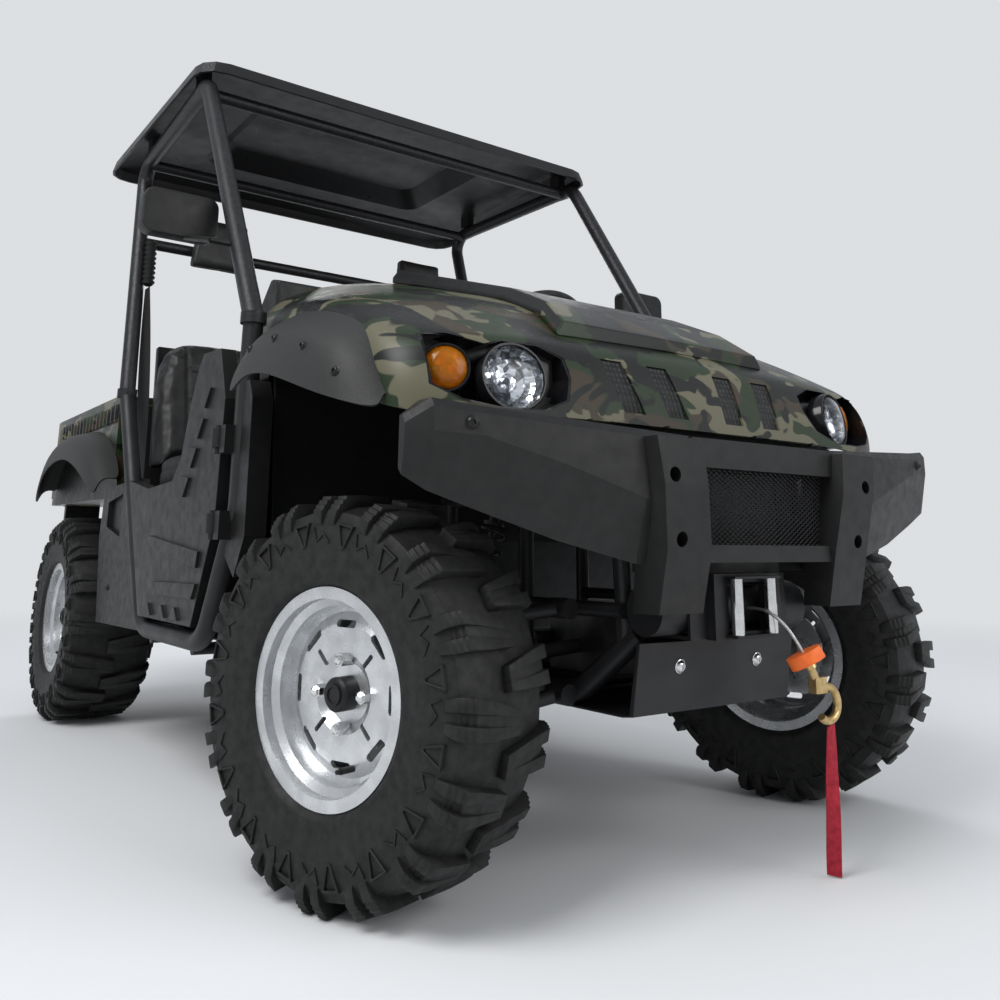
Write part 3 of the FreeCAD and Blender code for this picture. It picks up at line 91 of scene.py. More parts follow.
# Winch cable, a thin galvanised wire rope. It leaves the drum between the rollers and hangs over
# them, pulled down by the stop, the hook and the strap.
def finish(name, dark, light, rough, metal, cloud, grain, relief):
    made = bpy.data.materials.new(name)
    made.use_nodes = True
    nodes = made.node_tree.nodes
    links = made.node_tree.links
    shader = nodes["Principled BSDF"]
    shader.inputs["Metallic"].default_value = metal
    shader.inputs["Specular IOR Level"].default_value = 0.5 if metal > 0.5 else 0.3
    where = nodes.new("ShaderNodeTexCoord")
    cloudy = nodes.new("ShaderNodeTexNoise")
    cloudy.name = "clouds"
    cloudy.inputs["Scale"].default_value = cloud
    cloudy.inputs["Detail"].default_value = 5
    colours = nodes.new("ShaderNodeValToRGB")
    colours.color_ramp.elements[0].color = (*dark, 1)
    colours.color_ramp.elements[1].color = (*light, 1)
    colours.color_ramp.elements[0].position = 0.32
    colours.color_ramp.elements[1].position = 0.68
    polish = nodes.new("ShaderNodeMapRange")
    polish.name = "polish"
    polish.inputs["From Min"].default_value = 0.3
    polish.inputs["From Max"].default_value = 0.7
    polish.inputs["To Min"].default_value = rough + 0.07
    polish.inputs["To Max"].default_value = rough - 0.07
    fine = nodes.new("ShaderNodeTexNoise")
    fine.name = "grain"
    fine.inputs["Scale"].default_value = grain
    fine.inputs["Detail"].default_value = 3
    bump = nodes.new("ShaderNodeBump")
    bump.name = "relief"
    bump.inputs["Strength"].default_value = 0.8
    bump.inputs["Distance"].default_value = relief
    links.new(where.outputs["Object"], cloudy.inputs["Vector"])
    links.new(where.outputs["Object"], fine.inputs["Vector"])
    links.new(cloudy.outputs["Fac"], colours.inputs["Fac"])
    links.new(colours.outputs["Color"], shader.inputs["Base Color"])
    links.new(cloudy.outputs["Fac"], polish.inputs["Value"])
    links.new(polish.outputs["Result"], shader.inputs["Roughness"])
    links.new(fine.outputs["Fac"], bump.inputs["Height"])
    links.new(bump.outputs["Normal"], shader.inputs["Normal"])
    return made


def smooth_line(name, route, thickness):
    curve = bpy.data.curves.new(name, "CURVE")
    curve.dimensions = "3D"
    curve.bevel_depth = thickness / 2
    curve.bevel_resolution = 3
    curve.resolution_u = 10
    spline = curve.splines.new("NURBS")
    spline.points.add(len(route) - 1)
    for point, place in zip(spline.points, route):
        point.co = (*place, 1)
    spline.order_u = 3
    spline.use_endpoint_u = True
    line = bpy.data.objects.new(name, curve)
    bpy.context.collection.objects.link(line)
    return line


CABLE_WIDTH = 0.006
CABLE_ROUTE = (
    (0.027, -1.329, 0.440),
    (0.027, -1.352, 0.441),
    (0.029, -1.376, 0.436),
    (0.036, -1.397, 0.420),
    (0.046, -1.412, 0.396),
    (0.054, -1.421, 0.372),
)
wire_rope = finish("wire_rope", (0.30, 0.30, 0.29), (0.62, 0.62, 0.60), 0.34, 0.9, 420, 1300, 0.0006)
cable = smooth_line("winch_rope", CABLE_ROUTE, CABLE_WIDTH)
cable.data.materials.append(wire_rope)
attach(cable, "chassis")
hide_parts("winch_cable")

# Strap of red nylon webbing, sewn through the hook. It hangs with a half twist and its end
# rests on the ground.
STRAP_WIDTH = 0.025
STRAP_THICKNESS = 0.003
STRAP_START = math.radians(38)
STRAP_TURN = math.radians(75)
STRAP_ROUTE = (
    (0.113, -1.4250, 0.252),
    (0.118, -1.4197, 0.214),
    (0.126, -1.4113, 0.172),
    (0.129, -1.4081, 0.126),
    (0.136, -1.4008, 0.082),
    (0.145, -1.3913, 0.040),
    (0.150, -1.3860, 0.003),
)
strap = smooth_line("tow_strap", STRAP_ROUTE, STRAP_THICKNESS)
strap.data.extrude = (STRAP_WIDTH - STRAP_THICKNESS) / 2
for count, point in enumerate(strap.data.splines[0].points):
    point.tilt = STRAP_START + STRAP_TURN * count / (len(STRAP_ROUTE) - 1)
red_webbing = finish("red_webbing", (0.28, 0.010, 0.022), (0.44, 0.020, 0.040), 0.72, 0.0, 120, 2400, 0.0010)
strap.data.materials.append(red_webbing)
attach(strap, "chassis")
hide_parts("hook_strap")

# Pale floor under the tyres, and a pale room round it. The world lights softly from all sides.
FLOOR_HALF = 30
bpy.ops.mesh.primitive_plane_add(size=2 * FLOOR_HALF, location=(0, 0, 0))
floor = bpy.context.object
floor.name = "floor"
floor_material = bpy.data.materials.new("pale_floor")
floor_material.use_nodes = True
floor_shader = floor_material.node_tree.nodes["Principled BSDF"]
floor_shader.inputs["Base Color"].default_value = (0.74, 0.75, 0.76, 1)
floor_shader.inputs["Roughness"].default_value = 0.9
floor.data.materials.append(floor_material)
bpy.ops.object.select_all(action="DESELECT")

# Away from the vehicle the floor fades to the colour of the room, so that no horizon shows.
ROOM_COLOUR = (0.80, 0.82, 0.84, 1)
ROOM_LEVEL = 0.9
FADE_START = 2.2
FADE_END = 6.5
LIGHT_LEVEL = 0.55
floor_nodes = floor_material.node_tree.nodes
floor_links = floor_material.node_tree.links
floor_where = floor_nodes.new("ShaderNodeTexCoord")
from_middle = floor_nodes.new("ShaderNodeVectorMath")
from_middle.operation = "LENGTH"
fade = floor_nodes.new("ShaderNodeMapRange")
fade.interpolation_type = "SMOOTHSTEP"
fade.inputs["From Min"].default_value = FADE_START
fade.inputs["From Max"].default_value = FADE_END
far_floor = floor_nodes.new("ShaderNodeEmission")
far_floor.inputs["Color"].default_value = ROOM_COLOUR
far_floor.inputs["Strength"].default_value = ROOM_LEVEL
blend = floor_nodes.new("ShaderNodeMixShader")
floor_links.new(floor_where.outputs["Object"], from_middle.inputs[0])
floor_links.new(from_middle.outputs["Value"], fade.inputs["Value"])
floor_links.new(fade.outputs["Result"], blend.inputs["Fac"])
floor_links.new(floor_shader.outputs["BSDF"], blend.inputs[1])
floor_links.new(far_floor.outputs["Emission"], blend.inputs[2])
floor_links.new(blend.outputs["Shader"], floor_nodes["Material Output"].inputs["Surface"])
world = bpy.data.worlds.new("room")
bpy.context.scene.world = world
world.use_nodes = True
room = world.node_tree
room.nodes.clear()
lit = room.nodes.new("ShaderNodeBackground")
lit.inputs["Color"].default_value = (0.90, 0.94, 1.0, 1)
lit.inputs["Strength"].default_value = LIGHT_LEVEL
seen = room.nodes.new("ShaderNodeBackground")
seen.inputs["Color"].default_value = ROOM_COLOUR
seen.inputs["Strength"].default_value = ROOM_LEVEL
light_path = room.nodes.new("ShaderNodeLightPath")
choose = room.nodes.new("ShaderNodeMixShader")
world_out = room.nodes.new("ShaderNodeOutputWorld")
room.links.new(light_path.outputs["Is Camera Ray"], choose.inputs["Fac"])
room.links.new(lit.outputs[0], choose.inputs[1])
room.links.new(seen.outputs[0], choose.inputs[2])
room.links.new(choose.outputs[0], world_out.inputs["Surface"])

# Three large soft lamps: a high one to the right, a wide one in front and a weak one
# behind. Columns: name, place, power, size.
LAMPS = (
    ("key_lamp", (-3.6, -1.6, 4.4), 210, 2.6),
    ("front_lamp", (1.6, -5.0, 2.6), 95, 3.2),
    ("rear_lamp", (2.8, 4.2, 3.4), 90, 3.0),
)
for lamp_name, place, power, size in LAMPS:
    lamp_data = bpy.data.lights.new(lamp_name, "AREA")
    lamp_data.energy = power
    lamp_data.size = size
    lamp = bpy.data.objects.new(lamp_name, lamp_data)
    bpy.context.collection.objects.link(lamp)
    lamp.location = place
    lamp.rotation_euler = (Vector((0, -0.2, 0.7)) - Vector(place)).to_track_quat("-Z", "Y").to_euler()


# Frame, suspension arms, hoops and cage: steel tube in black powder coat. The coat has a fine
# orange peel, slight cloudiness and small pale rubs. The cage's coat is a coarser hammer finish.
def coat(material, *nodes):
    for node in nodes:
        mesh = frame["nodes"][node].data
        mesh.materials.clear()
        mesh.materials.append(material)


powder_coat = finish("powder_coat", (0.008, 0.008, 0.009), (0.018, 0.018, 0.019), 0.40, 0.0, 9, 900, 0.0004)
coat(powder_coat, "main_frame", "front_frame", "rear_frame", "front_lower_arms", "front_upper_arms", "rear_arms")
coat(powder_coat, "side_hoops", "winch", "skid_plates", "steering_column")
hammer_coat = finish("hammer_coat", (0.010, 0.010, 0.011), (0.026, 0.026, 0.028), 0.34, 0.2, 120, 380, 0.0010)
coat(hammer_coat, "roll_cage")

# Engine block, drive cases, shafts and knuckles: sand-cast aluminium and iron, dull and dusty.
# The silencer, the tie rods and the rollers of the fairlead are bare or plated steel.
cast_metal = finish("cast_metal", (0.05, 0.05, 0.05), (0.12, 0.12, 0.115), 0.58, 0.7, 14, 420, 0.0008)
coat(cast_metal, "engine", "front_driveline", "rear_driveline", "knuckle_left", "knuckle_right", "radiator")
bare_steel = finish("bare_steel", (0.36, 0.36, 0.36), (0.52, 0.52, 0.51), 0.30, 0.9, 22, 700, 0.0002)
coat(bare_steel, "muffler", "tie_rods", "fairlead")
hook_zinc = finish("hook_zinc", (0.44, 0.30, 0.12), (0.62, 0.46, 0.22), 0.32, 0.9, 90, 600, 0.0003)
coat(hook_zinc, "winch_hook")
orange_rubber = finish("orange_rubber", (0.72, 0.12, 0.02), (0.82, 0.17, 0.03), 0.5, 0.0, 60, 900, 0.0004)
coat(orange_rubber, "cable_stop")

# Moulded plastic of the cab, dash, doors, arch liners, roof and bumper: black, with a fine
# leather grain. The flares and the nose pockets have their own grains.
black_plastic = finish("black_plastic", (0.006, 0.006, 0.006), (0.011, 0.011, 0.011), 0.40, 0.0, 40, 1100, 0.0005)
coat(black_plastic, "bumper", "cab_tub", "dash", "door_left", "door_right", "front_side_panels")
coat(black_plastic, "rear_side_panels", "mirrors", "hood_panel", "belt_bellows")
roof_plastic = finish("roof_plastic", (0.008, 0.008, 0.009), (0.013, 0.013, 0.014), 0.34, 0.0, 20, 1300, 0.0004)
coat(roof_plastic, "roof")
pod_gloss = finish("pod_gloss", (0.006, 0.006, 0.007), (0.010, 0.010, 0.011), 0.16, 0.0, 30, 200, 0.0001)
coat(pod_gloss, "lamp_pods")
grey_plastic = finish("grey_plastic", (0.013, 0.013, 0.013), (0.036, 0.036, 0.035), 0.5, 0.0, 700, 700, 0.0007)
coat(grey_plastic, "front_flares", "rear_flares")
grip_rubber = finish("grip_rubber", (0.010, 0.010, 0.010), (0.018, 0.018, 0.018), 0.55, 0.0, 60, 900, 0.0008)
coat(grip_rubber, "steering_wheel")
red_lens = finish("red_lens", (0.42, 0.012, 0.010), (0.55, 0.020, 0.015), 0.14, 0.0, 30, 240, 0.0006)
coat(red_lens, "tail_lamps")


# Hood, bed and tailgate: plastic and sheet in a woodland print of dark green, grey tan, olive
# brown and near black blotches, under a clear semi-gloss coat.
def blotches(nodes, links, where, scale, offset, threshold):
    shift = nodes.new("ShaderNodeMapping")
    shift.inputs["Location"].default_value = offset
    shift.inputs["Scale"].default_value = (0.80, 0.62, 1.35)
    noise = nodes.new("ShaderNodeTexNoise")
    noise.inputs["Scale"].default_value = scale
    noise.inputs["Detail"].default_value = 2.2
    noise.inputs["Distortion"].default_value = 0.5
    edge = nodes.new("ShaderNodeValToRGB")
    edge.color_ramp.elements[0].position = threshold - 0.004
    edge.color_ramp.elements[1].position = threshold + 0.004
    links.new(where.outputs["Object"], shift.inputs["Vector"])
    links.new(shift.outputs["Vector"], noise.inputs["Vector"])
    links.new(noise.outputs["Fac"], edge.inputs["Fac"])
    return edge.outputs["Color"]


camo_print = finish("camo_print", (0.07, 0.08, 0.05), (0.08, 0.09, 0.06), 0.30, 0.0, 6, 1300, 0.0003)
camo_nodes = camo_print.node_tree.nodes
camo_links = camo_print.node_tree.links
camo_where = camo_nodes.new("ShaderNodeTexCoord")
# Layers over the grey tan ground, columns: colour, scale, offset, threshold.
CAMO_LAYERS = (
    ((0.014, 0.026, 0.010), 7.5, (0.0, 0.0, 0.0), 0.485),
    ((0.036, 0.026, 0.015), 9.0, (4.0, 1.0, 2.0), 0.565),
    ((0.005, 0.006, 0.005), 9.5, (9.0, 3.0, 7.0), 0.545),
)
under = camo_nodes.new("ShaderNodeRGB")
under.outputs[0].default_value = (0.112, 0.106, 0.068, 1)
printed = under.outputs[0]
for colour, scale, offset, threshold in CAMO_LAYERS:
    layer = camo_nodes.new("ShaderNodeMix")
    layer.data_type = "RGBA"
    camo_links.new(blotches(camo_nodes, camo_links, camo_where, scale, offset, threshold), layer.inputs["Factor"])
    camo_links.new(printed, layer.inputs["A"])
    layer.inputs["B"].default_value = (*colour, 1)
    printed = layer.outputs["Result"]
camo_links.new(printed, camo_nodes["Principled BSDF"].inputs["Base Color"])
coat(camo_print, "hood", "cargo_bed", "tailgate")


# Tyres with a deep mud tread. The carcass is a spun ring. Each shoulder carries sixteen moulded
# lugs with a stepped side and a notch, and the wall has raised triangles and zigzag ridges.
def added_outline(name, places):
    bpy.ops.object.select_all(action="DESELECT")
    bpy.ops.mesh.primitive_circle_add(vertices=len(places), radius=1, fill_type="NOTHING")
    piece = bpy.context.object
    piece.name = name
    for vertex, place in zip(piece.data.vertices, places):
        vertex.co = place
    return piece


def select_where(piece, kind, chosen):
    bpy.ops.object.mode_set(mode="EDIT")
    bpy.ops.mesh.select_mode(type=kind)
    bpy.ops.mesh.select_all(action="DESELECT")
    bpy.ops.object.mode_set(mode="OBJECT")
    parts = {"FACE": piece.data.polygons, "VERT": piece.data.vertices}[kind]
    for part in parts:
        part.select = chosen(part)
    bpy.ops.object.mode_set(mode="EDIT")


def done(piece, material, angle):
    bpy.ops.object.mode_set(mode="OBJECT")
    bpy.ops.object.select_all(action="DESELECT")
    piece.select_set(True)
    bpy.context.view_layer.objects.active = piece
    bpy.ops.object.transform_apply(location=True, rotation=True, scale=True)
    piece.data.materials.clear()
    piece.data.materials.append(material)
    if angle:
        bpy.ops.object.shade_smooth_by_angle(angle=math.radians(angle))


def joined(first, *others):
    bpy.ops.object.select_all(action="DESELECT")
    for piece in (first, *others):
        piece.select_set(True)
    bpy.context.view_layer.objects.active = first
    bpy.ops.object.join()


def placed_copy(piece, name, matrix):
    copy = bpy.data.objects.new(name, piece.data.copy())
    bpy.context.collection.objects.link(copy)
    copy.data.transform(matrix)
    if matrix.determinant() < 0:
        copy.data.flip_normals()
    return copy


def ring_of(piece, count):
    bpy.ops.object.mode_set(mode="EDIT")
    bpy.ops.mesh.select_all(action="SELECT")
    bpy.ops.mesh.spin(steps=count - 1, dupli=True, angle=math.tau * (count - 1) / count,
                      center=(0, 0, 0), axis=(1, 0, 0))
    bpy.ops.object.mode_set(mode="OBJECT")


def extruded(name, outline, along):
    block = added_outline(name, outline)
    bpy.ops.object.mode_set(mode="EDIT")
    bpy.ops.mesh.select_all(action="SELECT")
    bpy.ops.mesh.edge_face_add()
    bpy.ops.mesh.extrude_region_move(TRANSFORM_OT_translate={"value": along})
    bpy.ops.mesh.select_all(action="SELECT")
    bpy.ops.mesh.normals_make_consistent(inside=False)
    bpy.ops.object.mode_set(mode="OBJECT")
    return block


TYRE_RADIUS = 0.312
LUGS_A_SIDE = 16
LUG_HALF = 0.029
# The three slices of a lug, columns: start and end as shares of its half width, depth of the notch.
LUG_SLICES = ((-1.0, -0.30, 0.0), (-0.40, 0.40, 0.008), (0.30, 1.0, 0.0))
# Raised triangle and zigzag ridge of the wall, columns: y, radius.
TRIANGLE = ((-0.018, 0.268), (0.018, 0.268), (0.004, 0.230), (-0.004, 0.230))
ZIGZAG = ((-0.023, 0.256), (-0.015, 0.236), (0.000, 0.248), (0.014, 0.234))
ZIGZAG_WIDTH = 0.0035
tyre_rubber = finish("tyre_rubber", (0.006, 0.006, 0.006), (0.014, 0.014, 0.0132), 0.58, 0.0, 60, 500, 0.0006)


def made_tyre(half, bead):
    side = (
        (bead, 0.152),
        (bead, 0.166),
        (half * 0.93, 0.174),
        (half * 0.95, 0.181),
        (half * 0.945, 0.186),
        (half * 0.985, 0.205),
        (half, 0.232),
        (half * 0.985, 0.262),
        (half * 0.90, 0.284),
        (half * 0.62, 0.2935),
        (half * 0.28, 0.2965),
    )
    inside = ((-half * 0.8, 0.25), (-half * 0.86, 0.20), (half * 0.86, 0.20), (half * 0.8, 0.25))
    profile = [(x, 0, r) for x, r in side]
    profile += [(-x, 0, r) for x, r in side[::-1]]
    profile += [(x, 0, r) for x, r in (inside[1], inside[0], inside[3], inside[2])]
    carcass = added_outline("carcass", profile)
    bpy.ops.object.mode_set(mode="EDIT")
    bpy.ops.mesh.select_all(action="SELECT")
    bpy.ops.mesh.spin(steps=64, angle=math.tau, center=(0, 0, 0), axis=(1, 0, 0))
    bpy.ops.mesh.select_all(action="SELECT")
    bpy.ops.mesh.remove_doubles(threshold=0.0002)
    bpy.ops.mesh.normals_make_consistent(inside=False)
    done(carcass, tyre_rubber, 40)

    outline = (
        (-0.10 * half, 0.290),
        (-0.10 * half, 0.3112),
        (0.50 * half, TYRE_RADIUS - 0.0006),
        (0.83 * half, 0.3098),
        (0.845 * half, 0.3040),
        (0.895 * half, 0.3030),
        (0.910 * half, 0.2965),
        (0.950 * half, 0.2955),
        (0.965 * half, 0.2885),
        (1.000 * half, 0.2870),
        (1.010 * half, 0.2670),
        (0.96 * half, 0.256),
        (0.80 * half, 0.276),
    )
    slices = []
    for low, high, notch in LUG_SLICES:
        places = []
        for x, z in outline:
            outer = max(0, (x / half - 0.3) / 0.7)
            places.append((x - notch * outer, low * LUG_HALF, z - notch * outer * (z > 0.28)))
        slices.append(extruded("lug", places, (0, (high - low) * LUG_HALF, 0)))
    joined(*slices)
    lug = slices[0]
    for vertex in lug.data.vertices:
        share = vertex.co.x / half
        narrow = 0.62 + 0.38 * min(1, max(0, share * 1.6))
        low = 1 - 0.30 * max(0, (0.290 - vertex.co.z) / 0.035)
        vertex.co.y = vertex.co.y * narrow * low + 0.014 * (1 - share)
    bevel = lug.modifiers.new("worn_edges", "BEVEL")
    bevel.width = 0.0014
    bevel.segments = 2
    bevel.limit_method = "ANGLE"
    bpy.ops.object.modifier_apply(modifier=bevel.name)
    ring_of(lug, LUGS_A_SIDE)
    done(lug, tyre_rubber, 35)

    # A raised triangle with a hollow stands on the wall in each gap between the lugs.
    knob = extruded("knob", [(0.90 * half, y, z) for y, z in TRIANGLE], (0.128 * half, 0, 0))
    select_where(knob, "FACE", lambda face: face.normal.x > 0.9)
    bpy.ops.mesh.inset(thickness=0.0034)
    bpy.ops.mesh.extrude_region_move(TRANSFORM_OT_translate={"value": (-0.008, 0, 0)})
    bpy.ops.mesh.select_all(action="SELECT")
    bpy.ops.mesh.bevel(offset=0.0008, segments=1)
    bpy.ops.object.mode_set(mode="OBJECT")
    knob.data.transform(Matrix.Rotation(math.pi / LUGS_A_SIDE, 4, "X"))
    ring_of(knob, LUGS_A_SIDE)
    done(knob, tyre_rubber, 35)
    ribbon = [*ZIGZAG, *((y, z + ZIGZAG_WIDTH) for y, z in ZIGZAG[::-1])]
    ridge = extruded("ridge", [(0.93 * half, y, z) for y, z in ribbon], (0.085 * half, 0, 0))
    ring_of(ridge, LUGS_A_SIDE)
    done(ridge, tyre_rubber, 35)
    joined(lug, knob, ridge)
    half_step = Matrix.Rotation(math.pi / LUGS_A_SIDE, 4, "X")
    other = placed_copy(lug, "other_lugs", half_step @ Matrix.Scale(-1, 4, Vector((1, 0, 0))))
    joined(carcass, lug, other)
    return carcass


def wheel_place(corner):
    joint = next(row for row in frame["joints"] if row["name"] == "spin_" + corner)
    turn = math.atan2(joint["axis"][1], joint["axis"][0])
    if corner.endswith("right"):
        turn += math.pi
    return Matrix.Translation(Vector(joint["pos_m"])) @ Matrix.Rotation(turn, 4, "Z")


# Axle, columns: name, half width of the tyre, place of its bead, half width of the rim.
AXLES = (("front", 0.105, 0.0855, 0.090), ("rear", 0.127, 0.1055, 0.110))
for axle, half, bead, rim_half in AXLES:
    tyre = made_tyre(half, bead)
    for side in ("left", "right"):
        corner = axle + "_" + side
        copy = placed_copy(tyre, "mud_tyre_" + corner, wheel_place(corner))
        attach(copy, "wheel_" + corner)
        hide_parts("tyre_" + corner)
    bpy.data.objects.remove(tyre)

# Rims: pressed steel in bright silver paint. Each has a black hub cap, four plated lug nuts and
# a rubber valve in the barrel.
DISC_SET_IN = 0.046
NUT_RING = 0.052
rim_silver = finish("rim_silver", (0.52, 0.53, 0.54), (0.66, 0.67, 0.68), 0.28, 0.8, 26, 900, 0.0002)
coat(rim_silver, "rim_front_left", "rim_front_right", "rim_rear_left", "rim_rear_right")
chrome = finish("chrome", (0.62, 0.62, 0.62), (0.75, 0.75, 0.75), 0.14, 1.0, 50, 300, 0.0001)
for axle, half, bead, rim_half in AXLES:
    disc_x = rim_half - DISC_SET_IN
    bpy.ops.mesh.primitive_cylinder_add(vertices=6, radius=0.0105, depth=0.024,
                                        location=(disc_x + 0.004, 0, NUT_RING), rotation=(0, math.pi / 2, 0))
    nut = bpy.context.object
    bpy.ops.object.transform_apply(location=True, rotation=True, scale=True)
    select_where(nut, "FACE", lambda face: face.normal.x > 0.9)
    bpy.ops.mesh.inset(thickness=0.0022)
    bpy.ops.mesh.extrude_region_move(TRANSFORM_OT_translate={"value": (0.004, 0, 0)})
    bpy.ops.mesh.inset(thickness=0.003)
    bpy.ops.transform.translate(value=(0.0025, 0, 0))
    bpy.ops.object.mode_set(mode="OBJECT")
    ring_of(nut, 4)
    done(nut, chrome, 30)
    bpy.ops.mesh.primitive_cylinder_add(vertices=24, radius=0.0265, depth=0.030,
                                        location=(disc_x + 0.005, 0, 0), rotation=(0, math.pi / 2, 0))
    cap = bpy.context.object
    bpy.ops.object.transform_apply(location=True, rotation=True, scale=True)
    select_where(cap, "FACE", lambda face: face.normal.x > 0.9)
    bpy.ops.mesh.inset(thickness=0.004)
    bpy.ops.transform.translate(value=(0.004, 0, 0))
    bpy.ops.mesh.inset(thickness=0.006)
    bpy.ops.mesh.extrude_region_move(TRANSFORM_OT_translate={"value": (0.003, 0, 0)})
    bpy.ops.mesh.inset(thickness=0.004)
    bpy.ops.mesh.extrude_region_move(TRANSFORM_OT_translate={"value": (-0.002, 0, 0)})
    done(cap, black_plastic, 40)
    bpy.ops.mesh.primitive_cylinder_add(vertices=14, radius=0.0052, depth=0.040,
                                        location=(disc_x + 0.008, 0.026, -0.108), rotation=(0, math.pi / 2, 0))
    valve = bpy.context.object
    bpy.ops.object.transform_apply(location=True, rotation=True, scale=True)
    select_where(valve, "FACE", lambda face: face.normal.x > 0.9)
    bpy.ops.mesh.inset(thickness=0.0015)
    bpy.ops.mesh.extrude_region_move(TRANSFORM_OT_translate={"value": (0.008, 0, 0)})
    bpy.ops.mesh.bevel(offset=0.001, segments=2)
    done(valve, tyre_rubber, 40)
    for side in ("left", "right"):
        corner = axle + "_" + side
        for master, name, slot in ((nut, "lug_nuts_", "steel"), (cap, "hub_cap_", "black_plastic"),
                                   (valve, "valve_", "tyre_rubber")):
            copy = placed_copy(master, name + corner, wheel_place(corner))
            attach(copy, "wheel_" + corner)
    for master in (nut, cap, valve):
        bpy.data.objects.remove(master)

# Seats: black vinyl sewn over foam, on a moulded base. The cushion and the back are stuffed by a cloth simulation,
# then the sewn channels are pressed in, and a sewn line round the sides of the cushion.
SEAT_X = 0.350
vinyl = finish("vinyl", (0.010, 0.010, 0.010), (0.019, 0.019, 0.019), 0.42, 0.0, 30, 1000, 0.0005)


def soft_block(name, size, place):
    bpy.ops.object.select_all(action="DESELECT")
    bpy.ops.mesh.primitive_cube_add(size=1, location=place)
    block = bpy.context.object
    block.name = name
    block.scale = size
    bpy.ops.object.transform_apply(location=True, rotation=True, scale=True)
    bpy.ops.object.mode_set(mode="EDIT")
    bpy.ops.mesh.select_all(action="SELECT")
    bpy.ops.mesh.subdivide(number_cuts=7)
    bpy.ops.object.mode_set(mode="OBJECT")
    return block


def stuffed(block, voxel, most):
    active = bpy.context.view_layer.objects
    bpy.ops.object.select_all(action="DESELECT")
    block.select_set(True)
    active.active = block
    rounding = block.modifiers.new("round_corners", "BEVEL")
    rounding.width = 0.014
    rounding.segments = 3
    rounding.limit_method = "ANGLE"
    bpy.ops.object.modifier_apply(modifier=rounding.name)
    even = block.modifiers.new("even_mesh", "REMESH")
    even.mode = "VOXEL"
    even.voxel_size = voxel
    bpy.ops.object.modifier_apply(modifier=even.name)
    start = [vertex.co.copy() for vertex in block.data.vertices]
    cover = block.modifiers.new("cover", "CLOTH")
    cover.settings.use_pressure = True
    cover.settings.uniform_pressure_force = 4
    cover.settings.bending_stiffness = 8
    cover.settings.effector_weights.gravity = 0
    cover.point_cache.frame_end = 20
    for count in range(1, 21):
        bpy.context.scene.frame_set(count)
    bpy.ops.object.modifier_apply(modifier=cover.name)
    for vertex, before in zip(block.data.vertices, start):
        move = vertex.co - before
        if move.length > most:
            vertex.co = before + move.normalized() * most
    bpy.context.scene.frame_set(1)
    smoothing = block.modifiers.new("even_out", "SMOOTH")
    smoothing.factor = 0.5
    smoothing.iterations = 12
    bpy.ops.object.modifier_apply(modifier=smoothing.name)


def pressed_line(block, distance, width, depth, chosen):
    normals = [vertex.normal.copy() for vertex in block.data.vertices]
    for vertex, normal in zip(block.data.vertices, normals):
        if chosen(vertex.co, normal):
            near = distance(vertex.co) / width
            vertex.co -= normal * depth * math.exp(-near * near)


CUSHION_SIZE = (0.420, 0.400, 0.080)
CUSHION_PLACE = (0, 0.070, 0.722)
cushion = soft_block("cushion", CUSHION_SIZE, CUSHION_PLACE)
for vertex in cushion.data.vertices:
    ahead = (0.27 - vertex.co.y) / 0.40
    side = abs(vertex.co.x) / 0.21
    if vertex.co.z > 0.722:
        vertex.co.z += 0.012 * side ** 3 + 0.006 * ahead - 0.030 * max(0, ahead - 0.85) / 0.15
    vertex.co.x *= 1 - 0.07 * ahead ** 2
stuffed(cushion, 0.007, 0.014)
for seam in (-0.130, 0.130):
    pressed_line(cushion, lambda co, seam=seam: abs(co.x - seam), 0.006, 0.007,
                 lambda co, normal: normal.z > 0.4)
for seam in (0.02, 0.15):
    pressed_line(cushion, lambda co, seam=seam: abs(co.y - seam), 0.005, 0.005,
                 lambda co, normal: normal.z > 0.4 and abs(co.x) < 0.130)
pressed_line(cushion, lambda co: abs(co.z - 0.742), 0.004, 0.004, lambda co, normal: abs(normal.z) < 0.6)

BACK_LEAN = 0.27
back = soft_block("back", (0.416, 0.074, 0.400), (0, 0.372, 0.960))
for vertex in back.data.vertices:
    height = (vertex.co.z - 0.760) / 0.400
    side = abs(vertex.co.x) / 0.208
    vertex.co.x *= 1 - 0.16 * max(0, height - 0.55) ** 2 / 0.2
    vertex.co.z -= 0.045 * side ** 4 * max(0, height)
    if vertex.co.y < 0.372:
        vertex.co.y -= 0.022 * max(0, side - 0.62) / 0.38 * (1 - 0.6 * max(0, height - 0.6))
    vertex.co.y += BACK_LEAN * (vertex.co.z - 0.960)
stuffed(back, 0.007, 0.014)

for seam in (-0.118, 0.118):
    pressed_line(back, lambda co, seam=seam: abs(abs(co.x) - abs(seam)), 0.006, 0.007,
                 lambda co, normal, seam=seam: normal.y < -0.4 and co.x * seam > 0)
for seam in (0.860, 0.960, 1.060):
    pressed_line(back, lambda co, seam=seam: abs(co.z - seam), 0.005, 0.005,
                 lambda co, normal: normal.y < -0.4 and abs(co.x) < 0.118)
for block in (cushion, back):
    bpy.ops.object.select_all(action="DESELECT")
    block.select_set(True)
    bpy.context.view_layer.objects.active = block
    finer = block.modifiers.new("finer", "SUBSURF")
    finer.levels = 1
    finer.render_levels = 1
    bpy.ops.object.modifier_apply(modifier=finer.name)
    done(block, vinyl, 180)

